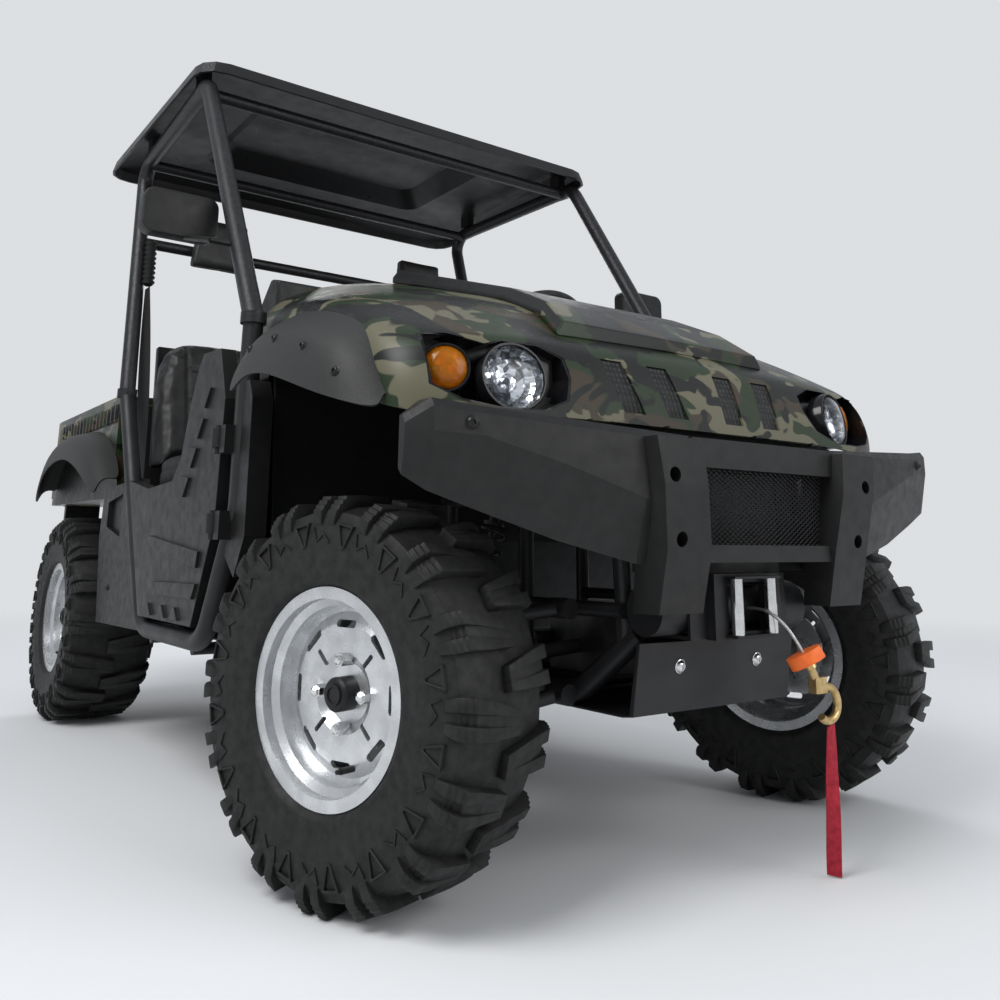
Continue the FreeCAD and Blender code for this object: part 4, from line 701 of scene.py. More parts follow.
bpy.ops.object.select_all(action="DESELECT")
bpy.ops.mesh.primitive_cube_add(size=1, location=(0, 0.080, 0.672))
base = bpy.context.object
base.scale = (0.430, 0.410, 0.034)
bpy.ops.object.transform_apply(location=True, rotation=True, scale=True)
select_where(base, "FACE", lambda face: face.normal.z < -0.9)
bpy.ops.mesh.extrude_region_move(TRANSFORM_OT_translate={"value": (0, 0.01, -0.022)})
bpy.ops.transform.resize(value=(0.9, 0.86, 1))
bpy.ops.mesh.select_all(action="SELECT")
bpy.ops.mesh.bevel(offset=0.007, segments=3)
done(base, black_plastic, 40)
bpy.ops.object.select_all(action="DESELECT")
bpy.ops.mesh.primitive_cube_add(size=1, location=(0, 0.418, 0.950))
shell = bpy.context.object
shell.scale = (0.400, 0.026, 0.380)
bpy.ops.object.transform_apply(location=True, rotation=True, scale=True)
select_where(shell, "FACE", lambda face: face.normal.y > 0.9)
bpy.ops.mesh.inset(thickness=0.045)
bpy.ops.mesh.extrude_region_move(TRANSFORM_OT_translate={"value": (0, 0.008, 0)})
bpy.ops.transform.resize(value=(0.94, 1, 0.94))
bpy.ops.mesh.select_all(action="SELECT")
bpy.ops.mesh.bevel(offset=0.006, segments=3)
bpy.ops.object.mode_set(mode="OBJECT")
for vertex in shell.data.vertices:
    vertex.co.y += BACK_LEAN * (vertex.co.z - 0.950)
    vertex.co.x *= 1 - 0.10 * max(0, vertex.co.z - 1.04) / 0.10
done(shell, black_plastic, 40)
for side, name in ((1, "left"), (-1, "right")):
    shift = Matrix.Translation((side * SEAT_X, 0, 0))
    for master, part, slot in ((cushion, "cushion", "vinyl"), (back, "back_pad", "vinyl"),
                               (base, "base", "black_plastic"), (shell, "back_shell", "black_plastic")):
        copy = placed_copy(master, "seat_" + part + "_" + name, shift)
        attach(copy, "chassis")
        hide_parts("seat_" + name)
for master in (cushion, back, base, shell):
    bpy.data.objects.remove(master)

# Head pads: the same vinyl over a firm foam block, clamped to the bar of the cage.
HEAD_PAD_X = 0.372
HEAD_PAD_PLACE = (0, 0.420, 1.483)
head_pad = soft_block("head_pad", (0.184, 0.034, 0.164), HEAD_PAD_PLACE)
for vertex in head_pad.data.vertices:
    vertex.co.x *= 1 - 0.10 * max(0, vertex.co.z - 1.461) / 0.10
stuffed(head_pad, 0.005, 0.007)
pressed_line(head_pad, lambda co: abs(co.y - 0.420), 0.003, 0.003, lambda co, normal: abs(normal.y) < 0.6)
done(head_pad, vinyl, 180)
for side, name in ((1, "left"), (-1, "right")):
    copy = placed_copy(head_pad, "head_pad_" + name, Matrix.Translation((side * HEAD_PAD_X, 0, 0)))
    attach(copy, "chassis")
    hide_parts("headrests")
bpy.data.objects.remove(head_pad)

# Seat belts: black woven webbing, pulled straight from the bellows to the deck beside the seat,
# with a slight twist.
BELT_TOP = (0.5975, 0.3880, 1.300)
BELT_LOW = (0.5815, 0.326, 0.664)
BELT_HALF = 0.023
belt_webbing = finish("belt_webbing", (0.010, 0.010, 0.010), (0.020, 0.020, 0.020), 0.7, 0.0, 400, 2600, 0.0008)
bpy.ops.mesh.primitive_grid_add(x_subdivisions=2, y_subdivisions=24, size=1)
belt = bpy.context.object
for vertex in belt.data.vertices:
    down = 0.5 - vertex.co.y
    across = vertex.co.x * 2 * BELT_HALF
    turn = math.radians(28) * math.sin(math.pi * down)
    middle = Vector(BELT_TOP).lerp(Vector(BELT_LOW), down)
    vertex.co = middle + Vector((math.sin(turn) * across, math.cos(turn) * across, 0))
weave = belt.modifiers.new("weave", "SOLIDIFY")
weave.thickness = 0.0018
weave.offset = 0
bpy.ops.object.modifier_apply(modifier=weave.name)
done(belt, belt_webbing, 60)
for side, name in ((1, "left"), (-1, "right")):
    copy = placed_copy(belt, "belt_strap_" + name, Matrix.Scale(side, 4, Vector((1, 0, 0))))
    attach(copy, "chassis")
    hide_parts("seat_belts")
bpy.data.objects.remove(belt)

# Headlamps and amber marker lamps in the nose pockets. Each has a black ring, a bright reflector with facets and
# painted reflections in its colour, a bulb shield and a domed lens. They are modelled facing up and then turned.
HEADLAMP_PLACE = (-0.433, -1.256, 0.815)
HEADLAMP_AIM = (-0.20, -0.95, 0.15)
HEADLAMP_RADIUS = 0.060
MARKER_PLACE = (-0.536, -1.206, 0.826)
MARKER_AIM = (-0.45, -0.88, 0.10)
MARKER_RADIUS = 0.043
clear_glass = finish("clear_glass", (0.95, 0.96, 0.98), (0.98, 0.99, 1.0), 0.08, 0.0, 30, 260, 0.0002)
clear_glass.node_tree.nodes["polish"].inputs["To Min"].default_value = 0.03
clear_glass.node_tree.nodes["polish"].inputs["To Max"].default_value = 0.01
clear_shader = clear_glass.node_tree.nodes["Principled BSDF"]
clear_shader.inputs["Transmission Weight"].default_value = 1.0
clear_shader.inputs["IOR"].default_value = 1.25
amber_glass = finish("amber_glass", (0.95, 0.30, 0.010), (1.0, 0.44, 0.020), 0.10, 0.0, 60, 120, 0.0016)
amber_shader = amber_glass.node_tree.nodes["Principled BSDF"]
amber_shader.inputs["Transmission Weight"].default_value = 0.80
amber_shader.inputs["IOR"].default_value = 1.35
# Painted reflection: each facet cell of the reflector gets its own colour between dark and bright, standing in for
# what the facets reflect. The same cells also give the facet relief.
reflector_silver_painted_reflections = finish("reflector_silver_painted_reflections", (0.16, 0.17, 0.19), (0.93, 0.94, 0.96), 0.12, 1.0, 75, 70, 0.0030)
facet_nodes = reflector_silver_painted_reflections.node_tree.nodes
facet_links = reflector_silver_painted_reflections.node_tree.links
facet_where = facet_nodes.new("ShaderNodeTexCoord")
facets = facet_nodes.new("ShaderNodeTexVoronoi")
facets.inputs["Scale"].default_value = 62
facet_links.new(facet_where.outputs["Object"], facets.inputs["Vector"])
facet_links.new(facets.outputs["Color"], facet_nodes["Color Ramp"].inputs["Fac"])
facet_links.new(facets.outputs["Distance"], facet_nodes["relief"].inputs["Height"])


def spun_part(name, profile, steps):
    part = added_outline(name, [(r, 0, z) for r, z in profile])
    bpy.ops.object.mode_set(mode="EDIT")
    bpy.ops.mesh.select_all(action="SELECT")
    bpy.ops.mesh.spin(steps=steps, angle=math.tau, center=(0, 0, 0), axis=(0, 0, 1))
    bpy.ops.mesh.select_all(action="SELECT")
    bpy.ops.mesh.remove_doubles(threshold=0.00015)
    bpy.ops.mesh.normals_make_consistent(inside=False)
    bpy.ops.object.mode_set(mode="OBJECT")
    return part


def aimed(place, aim):
    turn = Vector((0, 0, 1)).rotation_difference(Vector(aim).normalized())
    return Matrix.Translation(Vector(place)) @ turn.to_matrix().to_4x4()


def lamp_parts(radius, glass):
    ring = spun_part("ring", (
        (radius, -0.030),
        (radius, -0.002),
        (radius - 0.002, 0.001),
        (radius - 0.005, 0.001),
        (radius - 0.006, -0.003),
        (radius - 0.006, -0.030),
    ), 48)
    done(ring, pod_gloss, 35)
    bowl = spun_part("bowl", (
        (radius - 0.0065, -0.006),
        (radius * 0.80, -0.022),
        (radius * 0.55, -0.036),
        (radius * 0.24, -0.044),
        (radius * 0.22, -0.026),
        (radius * 0.16, -0.018),
        (0.0006, -0.016),
        (0.0006, -0.047),
        (radius * 0.60, -0.042),
        (radius - 0.0065, -0.020),
    ), 28)
    done(bowl, reflector_silver_painted_reflections, 8)
    lens = spun_part("lens", (
        (radius - 0.0062, -0.0045),
        (radius - 0.0062, -0.0015),
        (radius * 0.72, 0.0050),
        (radius * 0.40, 0.0090),
        (0.0005, 0.0105),
        (0.0005, 0.0080),
        (radius * 0.40, 0.0062),
        (radius * 0.72, 0.0020),
    ), 40)
    done(lens, glass, 60)
    return (ring, "ring"), (bowl, "bowl"), (lens, "lens")


# Columns: name, place, aim, radius, glass, node, slot of the lens.
NOSE_LAMPS = (
    ("headlamp", HEADLAMP_PLACE, HEADLAMP_AIM, HEADLAMP_RADIUS, clear_glass, "headlamps", "lens"),
    ("marker_lamp", MARKER_PLACE, MARKER_AIM, MARKER_RADIUS, amber_glass, "marker_lamps", "amber_lens"),
)
for name, place, aim, radius, glass, node, lens_slot in NOSE_LAMPS:
    parts = lamp_parts(radius, glass)
    for side, side_name in ((1, "right"), (-1, "left")):
        stand = Matrix.Scale(side, 4, Vector((1, 0, 0))) @ aimed(place, aim)
        for part, part_name in parts:
            copy = placed_copy(part, name + "_" + part_name + "_" + side_name, stand)
            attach(copy, "chassis")
            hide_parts(node)
    for part, part_name in parts:
        bpy.data.objects.remove(part)


# Grilles: a sheet of black expanded metal in the bumper, with open diamonds, and pressed mesh behind
# the slots of the nose.
GRILLE_HALF_X = 0.184
GRILLE_LOW = 0.546
GRILLE_TOP = 0.674
GRILLE_Y = -1.389
GRILLE_CELLS = 42
GRILLE_STRAND = 0.0034
bpy.ops.mesh.primitive_grid_add(x_subdivisions=GRILLE_CELLS, y_subdivisions=GRILLE_CELLS, size=0.40)
grille = bpy.context.object
stretched = Matrix.Diagonal((1.0, 0.62, 1.0, 1.0)) @ Matrix.Rotation(math.pi / 4, 4, "Z")
upright = Matrix.Translation((0, GRILLE_Y, (GRILLE_LOW + GRILLE_TOP) / 2)) @ Matrix.Rotation(math.pi / 2, 4, "X")
grille.data.transform(upright @ stretched)
for edge, normal in (((GRILLE_HALF_X, 0, 0), (1, 0, 0)), ((-GRILLE_HALF_X, 0, 0), (-1, 0, 0)),
                     ((0, 0, GRILLE_TOP), (0, 0, 1)), ((0, 0, GRILLE_LOW), (0, 0, -1))):
    bpy.ops.object.mode_set(mode="EDIT")
    bpy.ops.mesh.select_all(action="SELECT")
    bpy.ops.mesh.bisect(plane_co=edge, plane_no=normal, clear_outer=True, use_fill=False)
    bpy.ops.object.mode_set(mode="OBJECT")
strands = grille.modifiers.new("strands", "WIREFRAME")
strands.thickness = GRILLE_STRAND
bpy.ops.object.modifier_apply(modifier=strands.name)
done(grille, powder_coat, 30)
grille.name = "bumper_mesh"
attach(grille, "chassis")
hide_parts("bumper_grille")
nose_mesh = finish("nose_mesh", (0.008, 0.008, 0.008), (0.016, 0.016, 0.016), 0.5, 0.0, 60, 800, 0.0006)
nose_nodes = nose_mesh.node_tree.nodes
nose_links = nose_mesh.node_tree.links
nose_where = nose_nodes.new("ShaderNodeTexCoord")
nose_holes = nose_nodes.new("ShaderNodeTexVoronoi")
nose_holes.inputs["Scale"].default_value = 95
nose_holes.inputs["Randomness"].default_value = 0.0
nose_links.new(nose_where.outputs["Object"], nose_holes.inputs["Vector"])
nose_links.new(nose_holes.outputs["Distance"], nose_nodes["relief"].inputs["Height"])
nose_nodes["relief"].inputs["Distance"].default_value = 0.006
coat(nose_mesh, "nose_screens")

# Shock absorbers: a black damper and rod inside a coil spring of round steel wire, between two
# spring seats. Columns: low end, high end.
SHOCKS = (
    ((0.340, -0.971, 0.2805), (0.262, -0.971, 0.6196)),
    ((0.340, 0.950, 0.2926), (0.285, 0.950, 0.5390)),
)
SPRING_TURNS = 8
SPRING_RADIUS = 0.0235
SPRING_WIRE = 0.0075
spring_steel = finish("spring_steel", (0.010, 0.010, 0.010), (0.020, 0.020, 0.020), 0.3, 0.0, 40, 400, 0.0002)
for number, (low, high) in enumerate(SHOCKS):
    length = (Vector(high) - Vector(low)).length
    foot = length * 0.20
    head = length * 0.88
    damper = spun_part("damper", (
        (0.0005, 0.002), (0.012, 0.002), (0.012, foot - 0.012), (0.026, foot - 0.010), (0.026, foot),
        (0.017, foot + 0.002), (0.017, length * 0.56), (0.0065, length * 0.57), (0.0065, head),
        (0.024, head + 0.001), (0.024, head + 0.008), (0.012, head + 0.010), (0.012, length - 0.001),
        (0.0005, length - 0.001),
    ), 20)
    done(damper, spring_steel, 35)
    bpy.ops.object.select_all(action="DESELECT")
    bpy.ops.mesh.primitive_circle_add(vertices=10, radius=SPRING_WIRE / 2, location=(SPRING_RADIUS, 0, foot + 0.004),
                                      rotation=(math.pi / 2, 0, 0))
    coil = bpy.context.object
    bpy.ops.object.transform_apply(location=True, rotation=True, scale=True)
    rise = coil.modifiers.new("rise", "SCREW")
    rise.axis = "Z"
    rise.angle = math.tau
    rise.screw_offset = (head - foot - 0.008) / SPRING_TURNS
    rise.iterations = SPRING_TURNS
    rise.steps = 22
    rise.render_steps = 22
    bpy.ops.object.modifier_apply(modifier=rise.name)
    bpy.ops.object.mode_set(mode="EDIT")
    bpy.ops.mesh.select_all(action="SELECT")
    bpy.ops.mesh.remove_doubles(threshold=0.0001)
    bpy.ops.mesh.normals_make_consistent(inside=False)
    done(coil, spring_steel, 60)
    for side, side_name in ((1, "left"), (-1, "right")):
        stand = Matrix.Scale(side, 4, Vector((1, 0, 0))) @ aimed(low, Vector(high) - Vector(low))
        for part, part_name in ((damper, "damper"), (coil, "coil_spring")):
            copy = placed_copy(part, part_name + "_" + ("front_", "rear_")[number] + side_name, stand)
            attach(copy, "chassis")
            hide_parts("shocks")
    bpy.data.objects.remove(damper)
    bpy.data.objects.remove(coil)

# Mirrors: a head of black plastic with round corners, on a bent steel arm from the cage.
MIRROR_HEAD = (-0.736, -0.359, 1.284)
MIRROR_SIZE = (0.172, 0.042, 0.108)
MIRROR_ARM = (((-0.720, -0.362, 1.236), (-0.702, -0.500, 1.196)), ((-0.706, -0.500, 1.196), (-0.661, -0.500, 1.196)))
MIRROR_ARM_RADIUS = 0.007
bpy.ops.object.select_all(action="DESELECT")
bpy.ops.mesh.primitive_cube_add(size=1)
mirror_head = bpy.context.object
mirror_head.scale = MIRROR_SIZE
bpy.ops.object.transform_apply(location=True, rotation=True, scale=True)
bpy.ops.object.mode_set(mode="EDIT")
bpy.ops.mesh.select_mode(type="EDGE")
bpy.ops.mesh.select_all(action="DESELECT")
bpy.ops.object.mode_set(mode="OBJECT")
for edge in mirror_head.data.edges:
    first, second = (mirror_head.data.vertices[index].co for index in edge.vertices)
    edge.select = abs(first.y - second.y) > 0.02
bpy.ops.object.mode_set(mode="EDIT")
bpy.ops.mesh.bevel(offset=0.026, segments=6)
bpy.ops.mesh.select_all(action="SELECT")
bpy.ops.mesh.bevel(offset=0.009, segments=3, clamp_overlap=True)
bpy.ops.object.mode_set(mode="OBJECT")
mirror_head.location = MIRROR_HEAD
done(mirror_head, black_plastic, 40)
for low, high in MIRROR_ARM:
    reach = (Vector(high) - Vector(low)).length
    arm = spun_part("arm", (
        (0.0003, 0),
        (MIRROR_ARM_RADIUS, 0),
        (MIRROR_ARM_RADIUS, reach),
        (0.0003, reach),
    ), 14)
    arm.data.transform(aimed(low, Vector(high) - Vector(low)))
    done(arm, black_plastic, 40)
    joined(mirror_head, arm)
for side, side_name in ((1, "right"), (-1, "left")):
    copy = placed_copy(mirror_head, "mirror_" + side_name, Matrix.Scale(side, 4, Vector((1, 0, 0))))
    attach(copy, "chassis")
    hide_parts("mirrors")
bpy.data.objects.remove(mirror_head)

# Moulded and pressed panels: bumper, doors, roof, dash, tub, side panels, bed, tailgate and skid
# plate. Each is one plastic moulding or folded sheet, and its edges are rounded as the
# mould or the press leaves them.
def rounded_panel(node, body, radius, least_angle):
    source = frame["nodes"][node]
    panel = bpy.data.objects.new(node + "_panel", source.data.copy())
    bpy.context.collection.objects.link(panel)
    panel.data.transform(source.matrix_world)
    bpy.ops.object.select_all(action="DESELECT")
    panel.select_set(True)
    bpy.context.view_layer.objects.active = panel
    bpy.ops.object.mode_set(mode="EDIT")
    bpy.ops.mesh.select_all(action="SELECT")
    bpy.ops.mesh.remove_doubles(threshold=0.00005)
    bpy.ops.mesh.customdata_custom_splitnormals_clear()
    bpy.ops.mesh.dissolve_limited(angle_limit=math.radians(2))
    bpy.ops.object.mode_set(mode="OBJECT")
    rounding = panel.modifiers.new("rounding", "BEVEL")
    rounding.width = radius
    rounding.segments = 3
    rounding.limit_method = "ANGLE"
    rounding.angle_limit = math.radians(least_angle)
    bpy.ops.object.modifier_apply(modifier=rounding.name)
    bpy.ops.object.shade_smooth_by_angle(angle=math.radians(50))
    flat_faces = panel.modifiers.new("flat_faces", "WEIGHTED_NORMAL")
    flat_faces.keep_sharp = True
    bpy.ops.object.modifier_apply(modifier=flat_faces.name)
    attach(panel, body)
    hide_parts(node)
    return panel


# Columns: node, body, radius of its edges, least angle that is rounded, slot.
PANELS = (
    ("bumper", "chassis", 0.013, 9, "black_plastic"),
    ("door_left", "door_left", 0.004, 20, "black_plastic"),
    ("door_right", "door_right", 0.004, 20, "black_plastic"),
    ("roof", "chassis", 0.010, 20, "black_plastic"),
    ("dash", "chassis", 0.012, 20, "black_plastic"),
    ("cab_tub", "chassis", 0.005, 20, "black_plastic"),
    ("front_side_panels", "chassis", 0.003, 20, "black_plastic"),
    ("rear_side_panels", "chassis", 0.005, 20, "black_plastic"),
    ("cargo_bed", "bed", 0.003, 20, "camo_plastic"),
    ("tailgate", "tailgate", 0.003, 20, "camo_plastic"),
    ("skid_plates", "chassis", 0.002, 20, "frame_paint"),
    ("hood_panel", "chassis", 0.007, 20, "black_plastic"),
)
for node, body, radius, least_angle, slot in PANELS:
    rounded_panel(node, body, radius, least_angle)

# The raised panel of the hood carries the print on its sloping front.
PANEL_FRONT_Y = -1.085
hood_panel = bpy.data.objects["hood_panel_panel"]
hood_panel.data.materials.append(camo_print)
for face in hood_panel.data.polygons:
    if face.center.y < PANEL_FRONT_Y:
        face.material_index = 1


# Hood: one thin moulding in the camouflage print. A skin is drawn over the same sections as the
# mould, smoothed, thickened inwards, and cut for the lamp pockets and the four slots.
def fair_skin(name, rows, levels, thickness):
    across = len(rows[0]) - 1
    along = len(rows) - 1
    bpy.ops.object.select_all(action="DESELECT")
    bpy.ops.mesh.primitive_grid_add(x_subdivisions=across, y_subdivisions=along, size=1)
    skin = bpy.context.object
    skin.name = name
    places = [place for row in rows for place in row]
    for vertex, place in zip(skin.data.vertices, places):
        vertex.co = place
    trial = bpy.data.objects.new("trial", skin.data.copy())
    bpy.context.collection.objects.link(trial)
    bpy.ops.object.select_all(action="DESELECT")
    trial.select_set(True)
    bpy.context.view_layer.objects.active = trial
    easing = trial.modifiers.new("easing", "SUBSURF")
    easing.levels = levels
    bpy.ops.object.modifier_apply(modifier=easing.name)
    for vertex, eased in zip(skin.data.vertices, trial.data.vertices):
        vertex.co += (vertex.co - eased.co) * 0.9
    bpy.data.objects.remove(trial)
    bpy.ops.object.select_all(action="DESELECT")
    skin.select_set(True)
    bpy.context.view_layer.objects.active = skin
    easing = skin.modifiers.new("easing", "SUBSURF")
    easing.levels = levels
    bpy.ops.object.modifier_apply(modifier=easing.name)
    wall = skin.modifiers.new("wall", "SOLIDIFY")
    wall.thickness = thickness
    wall.offset = -1
    bpy.ops.object.modifier_apply(modifier=wall.name)
    return skin


# Columns: y, height at the middle, three shoulders and the edge as x and z, lower edge.
HOOD_SECTIONS = (
    (-0.545, 1.180, 0.280, 1.160, 0.480, 1.112, 0.578, 1.045, 0.604, 0.985, 0.905),
    (-0.660, 1.146, 0.280, 1.128, 0.480, 1.088, 0.588, 1.030, 0.611, 0.982, 0.890),
    (-0.740, 1.120, 0.280, 1.104, 0.480, 1.070, 0.596, 1.020, 0.630, 0.978, 0.880),
    (-0.840, 1.088, 0.280, 1.074, 0.480, 1.045, 0.600, 1.008, 0.637, 0.970, 0.862),
    (-0.980, 1.040, 0.280, 1.028, 0.480, 1.004, 0.600, 0.974, 0.638, 0.940, 0.825),
    (-1.090, 0.990, 0.275, 0.980, 0.470, 0.960, 0.595, 0.932, 0.638, 0.892, 0.790),
    (-1.160, 0.938, 0.270, 0.932, 0.450, 0.922, 0.585, 0.902, 0.636, 0.846, 0.765),
    (-1.205, 0.908, 0.262, 0.905, 0.450, 0.898, 0.575, 0.876, 0.620, 0.810, 0.752),
    (-1.235, 0.880, 0.255, 0.880, 0.440, 0.876, 0.540, 0.848, 0.588, 0.792, 0.745),
    (-1.265, 0.815, 0.240, 0.815, 0.410, 0.811, 0.480, 0.795, 0.528, 0.764, 0.738),
    (-1.290, 0.752, 0.225, 0.752, 0.370, 0.750, 0.420, 0.745, 0.452, 0.737, 0.728),
)
POD_OUTLINE = (
    (-0.585, 0.878), (-0.585, 0.790), (-0.540, 0.766), (-0.480, 0.757), (-0.392, 0.757), (-0.335, 0.780),
    (-0.316, 0.822), (-0.318, 0.860), (-0.368, 0.880), (-0.440, 0.880), (-0.480, 0.868), (-0.540, 0.882),
)
POD_REAR_Y = -1.145
POD_SLANT = 0.25
# The slots of the nose, columns: x at the top, x at the bottom.
NOSE_SLOTS = ((-0.205, -0.186), (-0.090, -0.076), (0.090, 0.076), (0.205, 0.186))
SLOT_HALF = 0.026
SLOT_TOP = 0.872
SLOT_LOW = 0.772
AHEAD_Y = -1.40


def cutter(outline, depth, slant):
    block = added_outline("cutter", [(x, AHEAD_Y, z) for x, z in outline])
    bpy.ops.object.mode_set(mode="EDIT")
    bpy.ops.mesh.select_all(action="SELECT")
    bpy.ops.mesh.edge_face_add()
    bpy.ops.mesh.extrude_region_move(TRANSFORM_OT_translate={"value": (0, depth - AHEAD_Y, 0)})
    bpy.ops.mesh.select_all(action="SELECT")
    bpy.ops.mesh.normals_make_consistent(inside=False)
    bpy.ops.object.mode_set(mode="OBJECT")
    for vertex in block.data.vertices:
        if vertex.co.y > AHEAD_Y + 0.01:
            vertex.co.y += slant * (abs(vertex.co.x) - 0.45)
    return block


def cut_out(piece, block):
    bpy.ops.object.select_all(action="DESELECT")
    piece.select_set(True)
    bpy.context.view_layer.objects.active = piece
    opening = piece.modifiers.new("opening", "BOOLEAN")
    opening.operation = "DIFFERENCE"
    opening.object = block
    bpy.ops.object.modifier_apply(modifier=opening.name)
    bpy.data.objects.remove(block)


hood_rows = []
for y, top, x1, z1, x2, z2, x3, z3, x4, z4, low in HOOD_SECTIONS:
    half = [(x4, low), (x4, z4), (x3, z3), (x2, z2), (x1, z1)]
    section = [(-x, y, z) for x, z in half] + [(0, y, top)] + [(x, y, z) for x, z in half[::-1]]
    hood_rows.append(section)
hood = fair_skin("hood_skin", hood_rows, 3, -0.005)
for side in (1, -1):
    cut_out(hood, cutter([(side * x, z) for x, z in POD_OUTLINE], POD_REAR_Y, POD_SLANT))
for top_x, low_x in NOSE_SLOTS:
    corners = ((low_x - SLOT_HALF, SLOT_LOW), (low_x + SLOT_HALF, SLOT_LOW),
               (top_x + SLOT_HALF, SLOT_TOP), (top_x - SLOT_HALF, SLOT_TOP))
    cut_out(hood, cutter(corners, POD_REAR_Y, 0))
done(hood, camo_print, 35)
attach(hood, "chassis")
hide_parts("hood")

# Flares over the wheels: grained grey plastic, riveted to the fender and to the bed. Their rows run
# along the arch. Columns: y, inner x, height at the body, outer x, crease height, lip height.
FRONT_FLARE = (
    (-1.180, 0.622, 0.776, 0.650, 0.766, 0.752),
    (-1.130, 0.622, 0.872, 0.688, 0.826, 0.768),
    (-1.060, 0.622, 0.920, 0.704, 0.866, 0.790),
    (-0.960, 0.622, 0.954, 0.712, 0.896, 0.822),
    (-0.860, 0.622, 0.972, 0.712, 0.912, 0.846),
    (-0.770, 0.622, 0.970, 0.710, 0.908, 0.848),
    (-0.700, 0.618, 0.948, 0.704, 0.884, 0.828),
)
REAR_FLARE = (
    (0.480, 0.604, 0.735, 0.672, 0.716, 0.680),
    (0.600, 0.604, 0.842, 0.688, 0.812, 0.752),
    (0.760, 0.604, 0.890, 0.694, 0.858, 0.798),
    (0.905, 0.604, 0.898, 0.694, 0.868, 0.808),
    (1.050, 0.604, 0.888, 0.694, 0.856, 0.796),
    (1.210, 0.604, 0.840, 0.688, 0.810, 0.750),
    (1.320, 0.604, 0.735, 0.672, 0.716, 0.680),
)
for flare_name, table, body, node in (("front_flare", FRONT_FLARE, "chassis", "front_flares"),
                                      ("rear_flare", REAR_FLARE, "bed", "rear_flares")):
    rows = []
    for y, inner_x, top, outer_x, crease, lip in table:
        shoulder = ((inner_x + outer_x - 0.012) / 2, y, (top + crease) / 2 + 0.006)
        rows.append([(inner_x, y, top), shoulder, (outer_x - 0.012, y, crease), (outer_x, y, lip)])
    flare = fair_skin(flare_name, rows, 3, -0.005)
    done(flare, grey_plastic, 40)
    for side, side_name in ((1, "left"), (-1, "right")):
        copy = placed_copy(flare, flare_name + "_" + side_name, Matrix.Scale(side, 4, Vector((1, 0, 0))))
        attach(copy, body)
        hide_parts(node)
    bpy.data.objects.remove(flare)

# Arch liner under each rear flare: a thin black sheet on the side of the bed.
LINER_X = 0.6085
LINER_LOW = 0.677
liner_rows = []
for y, inner_x, top, outer_x, crease, lip in REAR_FLARE:
    liner_rows.append([(LINER_X, y, LINER_LOW + share * (top - 0.006 - LINER_LOW)) for share in (0, 0.5, 1)])
liner = fair_skin("arch_liner", liner_rows, 2, 0.002)
done(liner, black_plastic, 40)
for side, side_name in ((1, "left"), (-1, "right")):
    copy = placed_copy(liner, "arch_liner_" + side_name, Matrix.Scale(side, 4, Vector((1, 0, 0))))
    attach(copy, "bed")
bpy.data.objects.remove(liner)

# Fairlead: black plate with two turned steel rollers. Tail lamps: red lens on a black housing.
ROLLER_X = 0.044
ROLLER_Y = -1.368
ROLLER_RADIUS = 0.0118


def second_finish(node, material, chosen):
    mesh = frame["nodes"][node].data
    mesh.materials.append(material)
    for face in mesh.polygons:
        if chosen(face):
            face.material_index = 1


coat(powder_coat, "fairlead")
second_finish("fairlead", chrome, lambda face: abs(face.normal.z) < 0.5 and math.hypot(
    abs(face.center.x) - ROLLER_X, face.center.y - ROLLER_Y) < ROLLER_RADIUS)
coat(black_plastic, "tail_lamps")
second_finish("tail_lamps", red_lens, lambda face: face.normal.y > 0.9)

# Ribs pressed in the sides of the bed, between the rail at the top and the flare.
RIB_PITCH = 0.046
RIB_FRONT_Y = 0.575
RIB_COUNT = 18
RIB_LOW = 0.905
RIB_TOP = 0.968
BED_HALF = 0.605
bpy.ops.object.select_all(action="DESELECT")
bpy.ops.mesh.primitive_cube_add(size=1, location=(BED_HALF + 0.001, RIB_FRONT_Y, (RIB_LOW + RIB_TOP) / 2))
rib = bpy.context.object
rib.scale = (0.012, 0.020, RIB_TOP - RIB_LOW)
bpy.ops.object.transform_apply(location=True, rotation=True, scale=True)
select_where(rib, "FACE", lambda face: face.normal.x > 0.9)
bpy.ops.transform.resize(value=(1, 0.55, 0.86))
bpy.ops.mesh.select_all(action="SELECT")
bpy.ops.mesh.bevel(offset=0.002, segments=2)
bpy.ops.object.mode_set(mode="OBJECT")
row_of_ribs = rib.modifiers.new("row", "ARRAY")
row_of_ribs.count = RIB_COUNT
row_of_ribs.use_relative_offset = False
row_of_ribs.use_constant_offset = True
row_of_ribs.constant_offset_displace = (0, RIB_PITCH, 0)
bpy.ops.object.modifier_apply(modifier=row_of_ribs.name)
done(rib, camo_print, 30)
for side, side_name in ((1, "left"), (-1, "right")):
    copy = placed_copy(rib, "bed_ribs_" + side_name, Matrix.Scale(side, 4, Vector((1, 0, 0))))
    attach(copy, "bed")
bpy.data.objects.remove(rib)

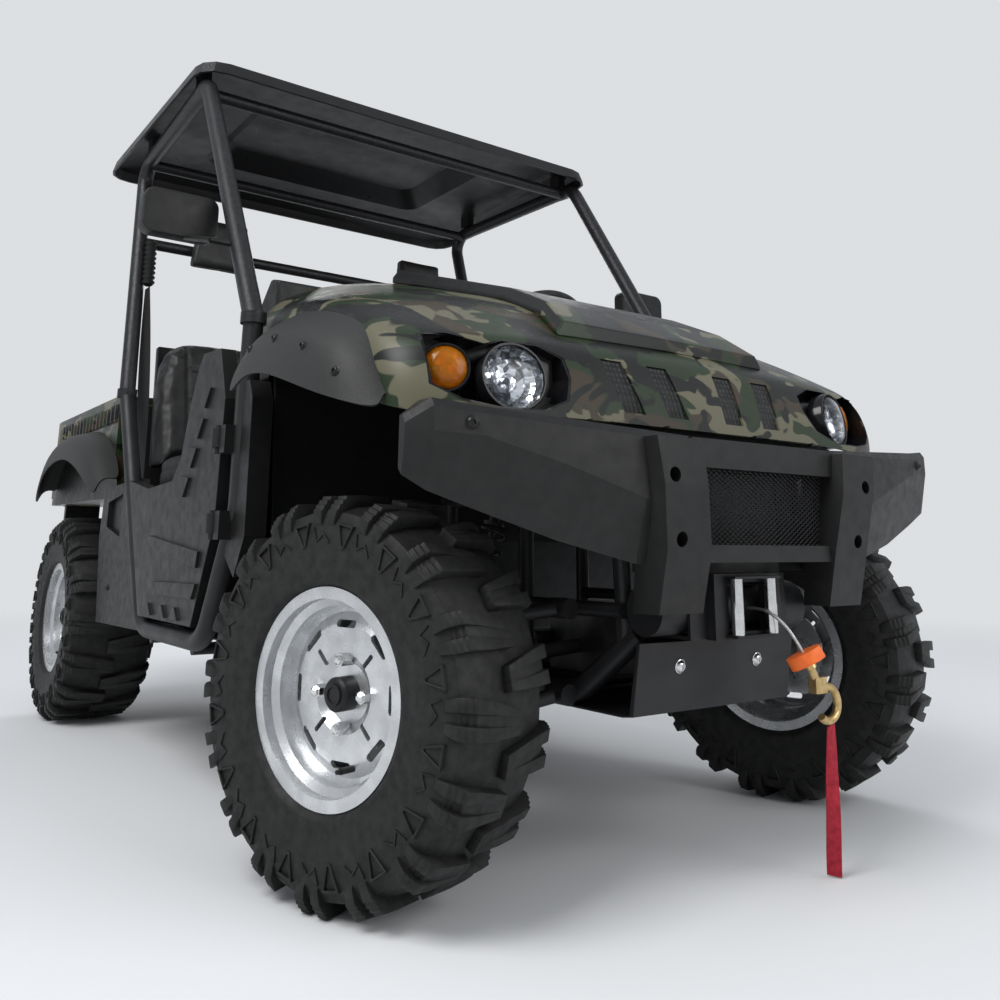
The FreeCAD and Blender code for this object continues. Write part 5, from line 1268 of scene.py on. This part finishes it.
# Button-head screws of the flares, the fenders, the bumper and the skid plate. Each stands
# on the nearest surface of its panel. Columns: panel, body, near point on the right side, radius,
# finish.
screw_black = finish("screw_black", (0.010, 0.010, 0.010), (0.018, 0.018, 0.018), 0.3, 0.3, 60, 600, 0.0002)
SCREWS = (
    ("front_flare_right", "chassis", (-0.704, -0.780, 0.905), 0.0075, screw_black),
    ("front_flare_right", "chassis", (-0.706, -0.900, 0.905), 0.0075, screw_black),
    ("front_flare_right", "chassis", (-0.705, -1.020, 0.872), 0.0075, screw_black),
    ("front_flare_right", "chassis", (-0.690, -1.120, 0.815), 0.0075, screw_black),
    ("hood_skin", "chassis", (-0.640, -1.150, 0.790), 0.0080, chrome),
    ("hood_skin", "chassis", (-0.300, -1.290, 0.742), 0.0065, screw_black),
    ("hood_skin", "chassis", (-0.120, -1.300, 0.748), 0.0065, screw_black),
    ("bumper_panel", "chassis", (-0.580, -1.352, 0.718), 0.0095, screw_black),
    ("skid_plates_panel", "chassis", (-0.100, -1.290, 0.345), 0.0105, chrome),
    ("rear_flare_right", "bed", (-0.645, 0.700, 0.850), 0.0075, screw_black),
    ("rear_flare_right", "bed", (-0.645, 1.110, 0.850), 0.0075, screw_black),
    ("rear_side_panels_panel", "chassis", (-0.630, 0.120, 0.420), 0.0080, screw_black),
    ("rear_side_panels_panel", "chassis", (-0.630, 0.400, 0.420), 0.0080, screw_black),
)
screw = spun_part("screw", (
    (0.0003, -0.002), (1.15, -0.002), (1.15, 0.10), (1.0, 0.16), (0.86, 0.48), (0.60, 0.66),
    (0.42, 0.70), (0.40, 0.36), (0.0003, 0.36),
), 16)
done(screw, chrome, 35)
for number, (panel, body, near, radius, screw_finish) in enumerate(SCREWS):
    hit, place, normal, face = bpy.data.objects[panel].closest_point_on_mesh(Vector(near))
    for side, side_name in ((1, "right"), (-1, "left")):
        stand = Matrix.Scale(side, 4, Vector((1, 0, 0))) @ aimed(place, normal) @ Matrix.Scale(radius, 4)
        copy = placed_copy(screw, "screw_" + str(number) + "_" + side_name, stand)
        copy.data.materials[0] = screw_finish
        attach(copy, body)
bpy.data.objects.remove(screw)

# Air guide of sheet steel on both sides of the radiator, behind the mesh of the bumper.
bpy.ops.object.select_all(action="DESELECT")
bpy.ops.mesh.primitive_cube_add(size=1, location=(0.186, -1.304, 0.595))
guide = bpy.context.object
guide.scale = (0.074, 0.004, 0.184)
bpy.ops.object.transform_apply(location=True, rotation=True, scale=True)
select_where(guide, "FACE", lambda face: face.normal.x > 0.9)
bpy.ops.mesh.extrude_region_move(TRANSFORM_OT_translate={"value": (0.006, -0.040, 0)})
bpy.ops.mesh.select_all(action="SELECT")
bpy.ops.mesh.bevel(offset=0.0012, segments=2)
done(guide, powder_coat, 30)
for side, side_name in ((1, "left"), (-1, "right")):
    copy = placed_copy(guide, "air_guide_" + side_name, Matrix.Scale(side, 4, Vector((1, 0, 0))))
    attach(copy, "chassis")
bpy.data.objects.remove(guide)

# Painted shade: a sheet of black plastic that closes the nose between the hood and the bumper, bowed like the nose.
# It stands for the shade inside the nose, where the room would otherwise show through.
SHADE_SHEET_HALF = 0.475
SHADE_SHEET_Y = -1.250
SHADE_SHEET_BOW = 0.18
SHADE_SHEET_LOW = 0.694
SHADE_SHEET_TOP = 0.792
bpy.ops.mesh.primitive_grid_add(x_subdivisions=24, y_subdivisions=4, size=1)
shade_sheet = bpy.context.object
for vertex in shade_sheet.data.vertices:
    x = vertex.co.x * 2 * SHADE_SHEET_HALF
    z = (SHADE_SHEET_LOW + SHADE_SHEET_TOP) / 2 + vertex.co.y * (SHADE_SHEET_TOP - SHADE_SHEET_LOW)
    vertex.co = (x, SHADE_SHEET_Y + SHADE_SHEET_BOW * x * x, z)
shade_sheet_wall = shade_sheet.modifiers.new("shade_sheet_wall", "SOLIDIFY")
shade_sheet_wall.thickness = 0.004
bpy.ops.object.modifier_apply(modifier=shade_sheet_wall.name)
done(shade_sheet, black_plastic, 40)
shade_sheet.name = "nose_apron"
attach(shade_sheet, "chassis")
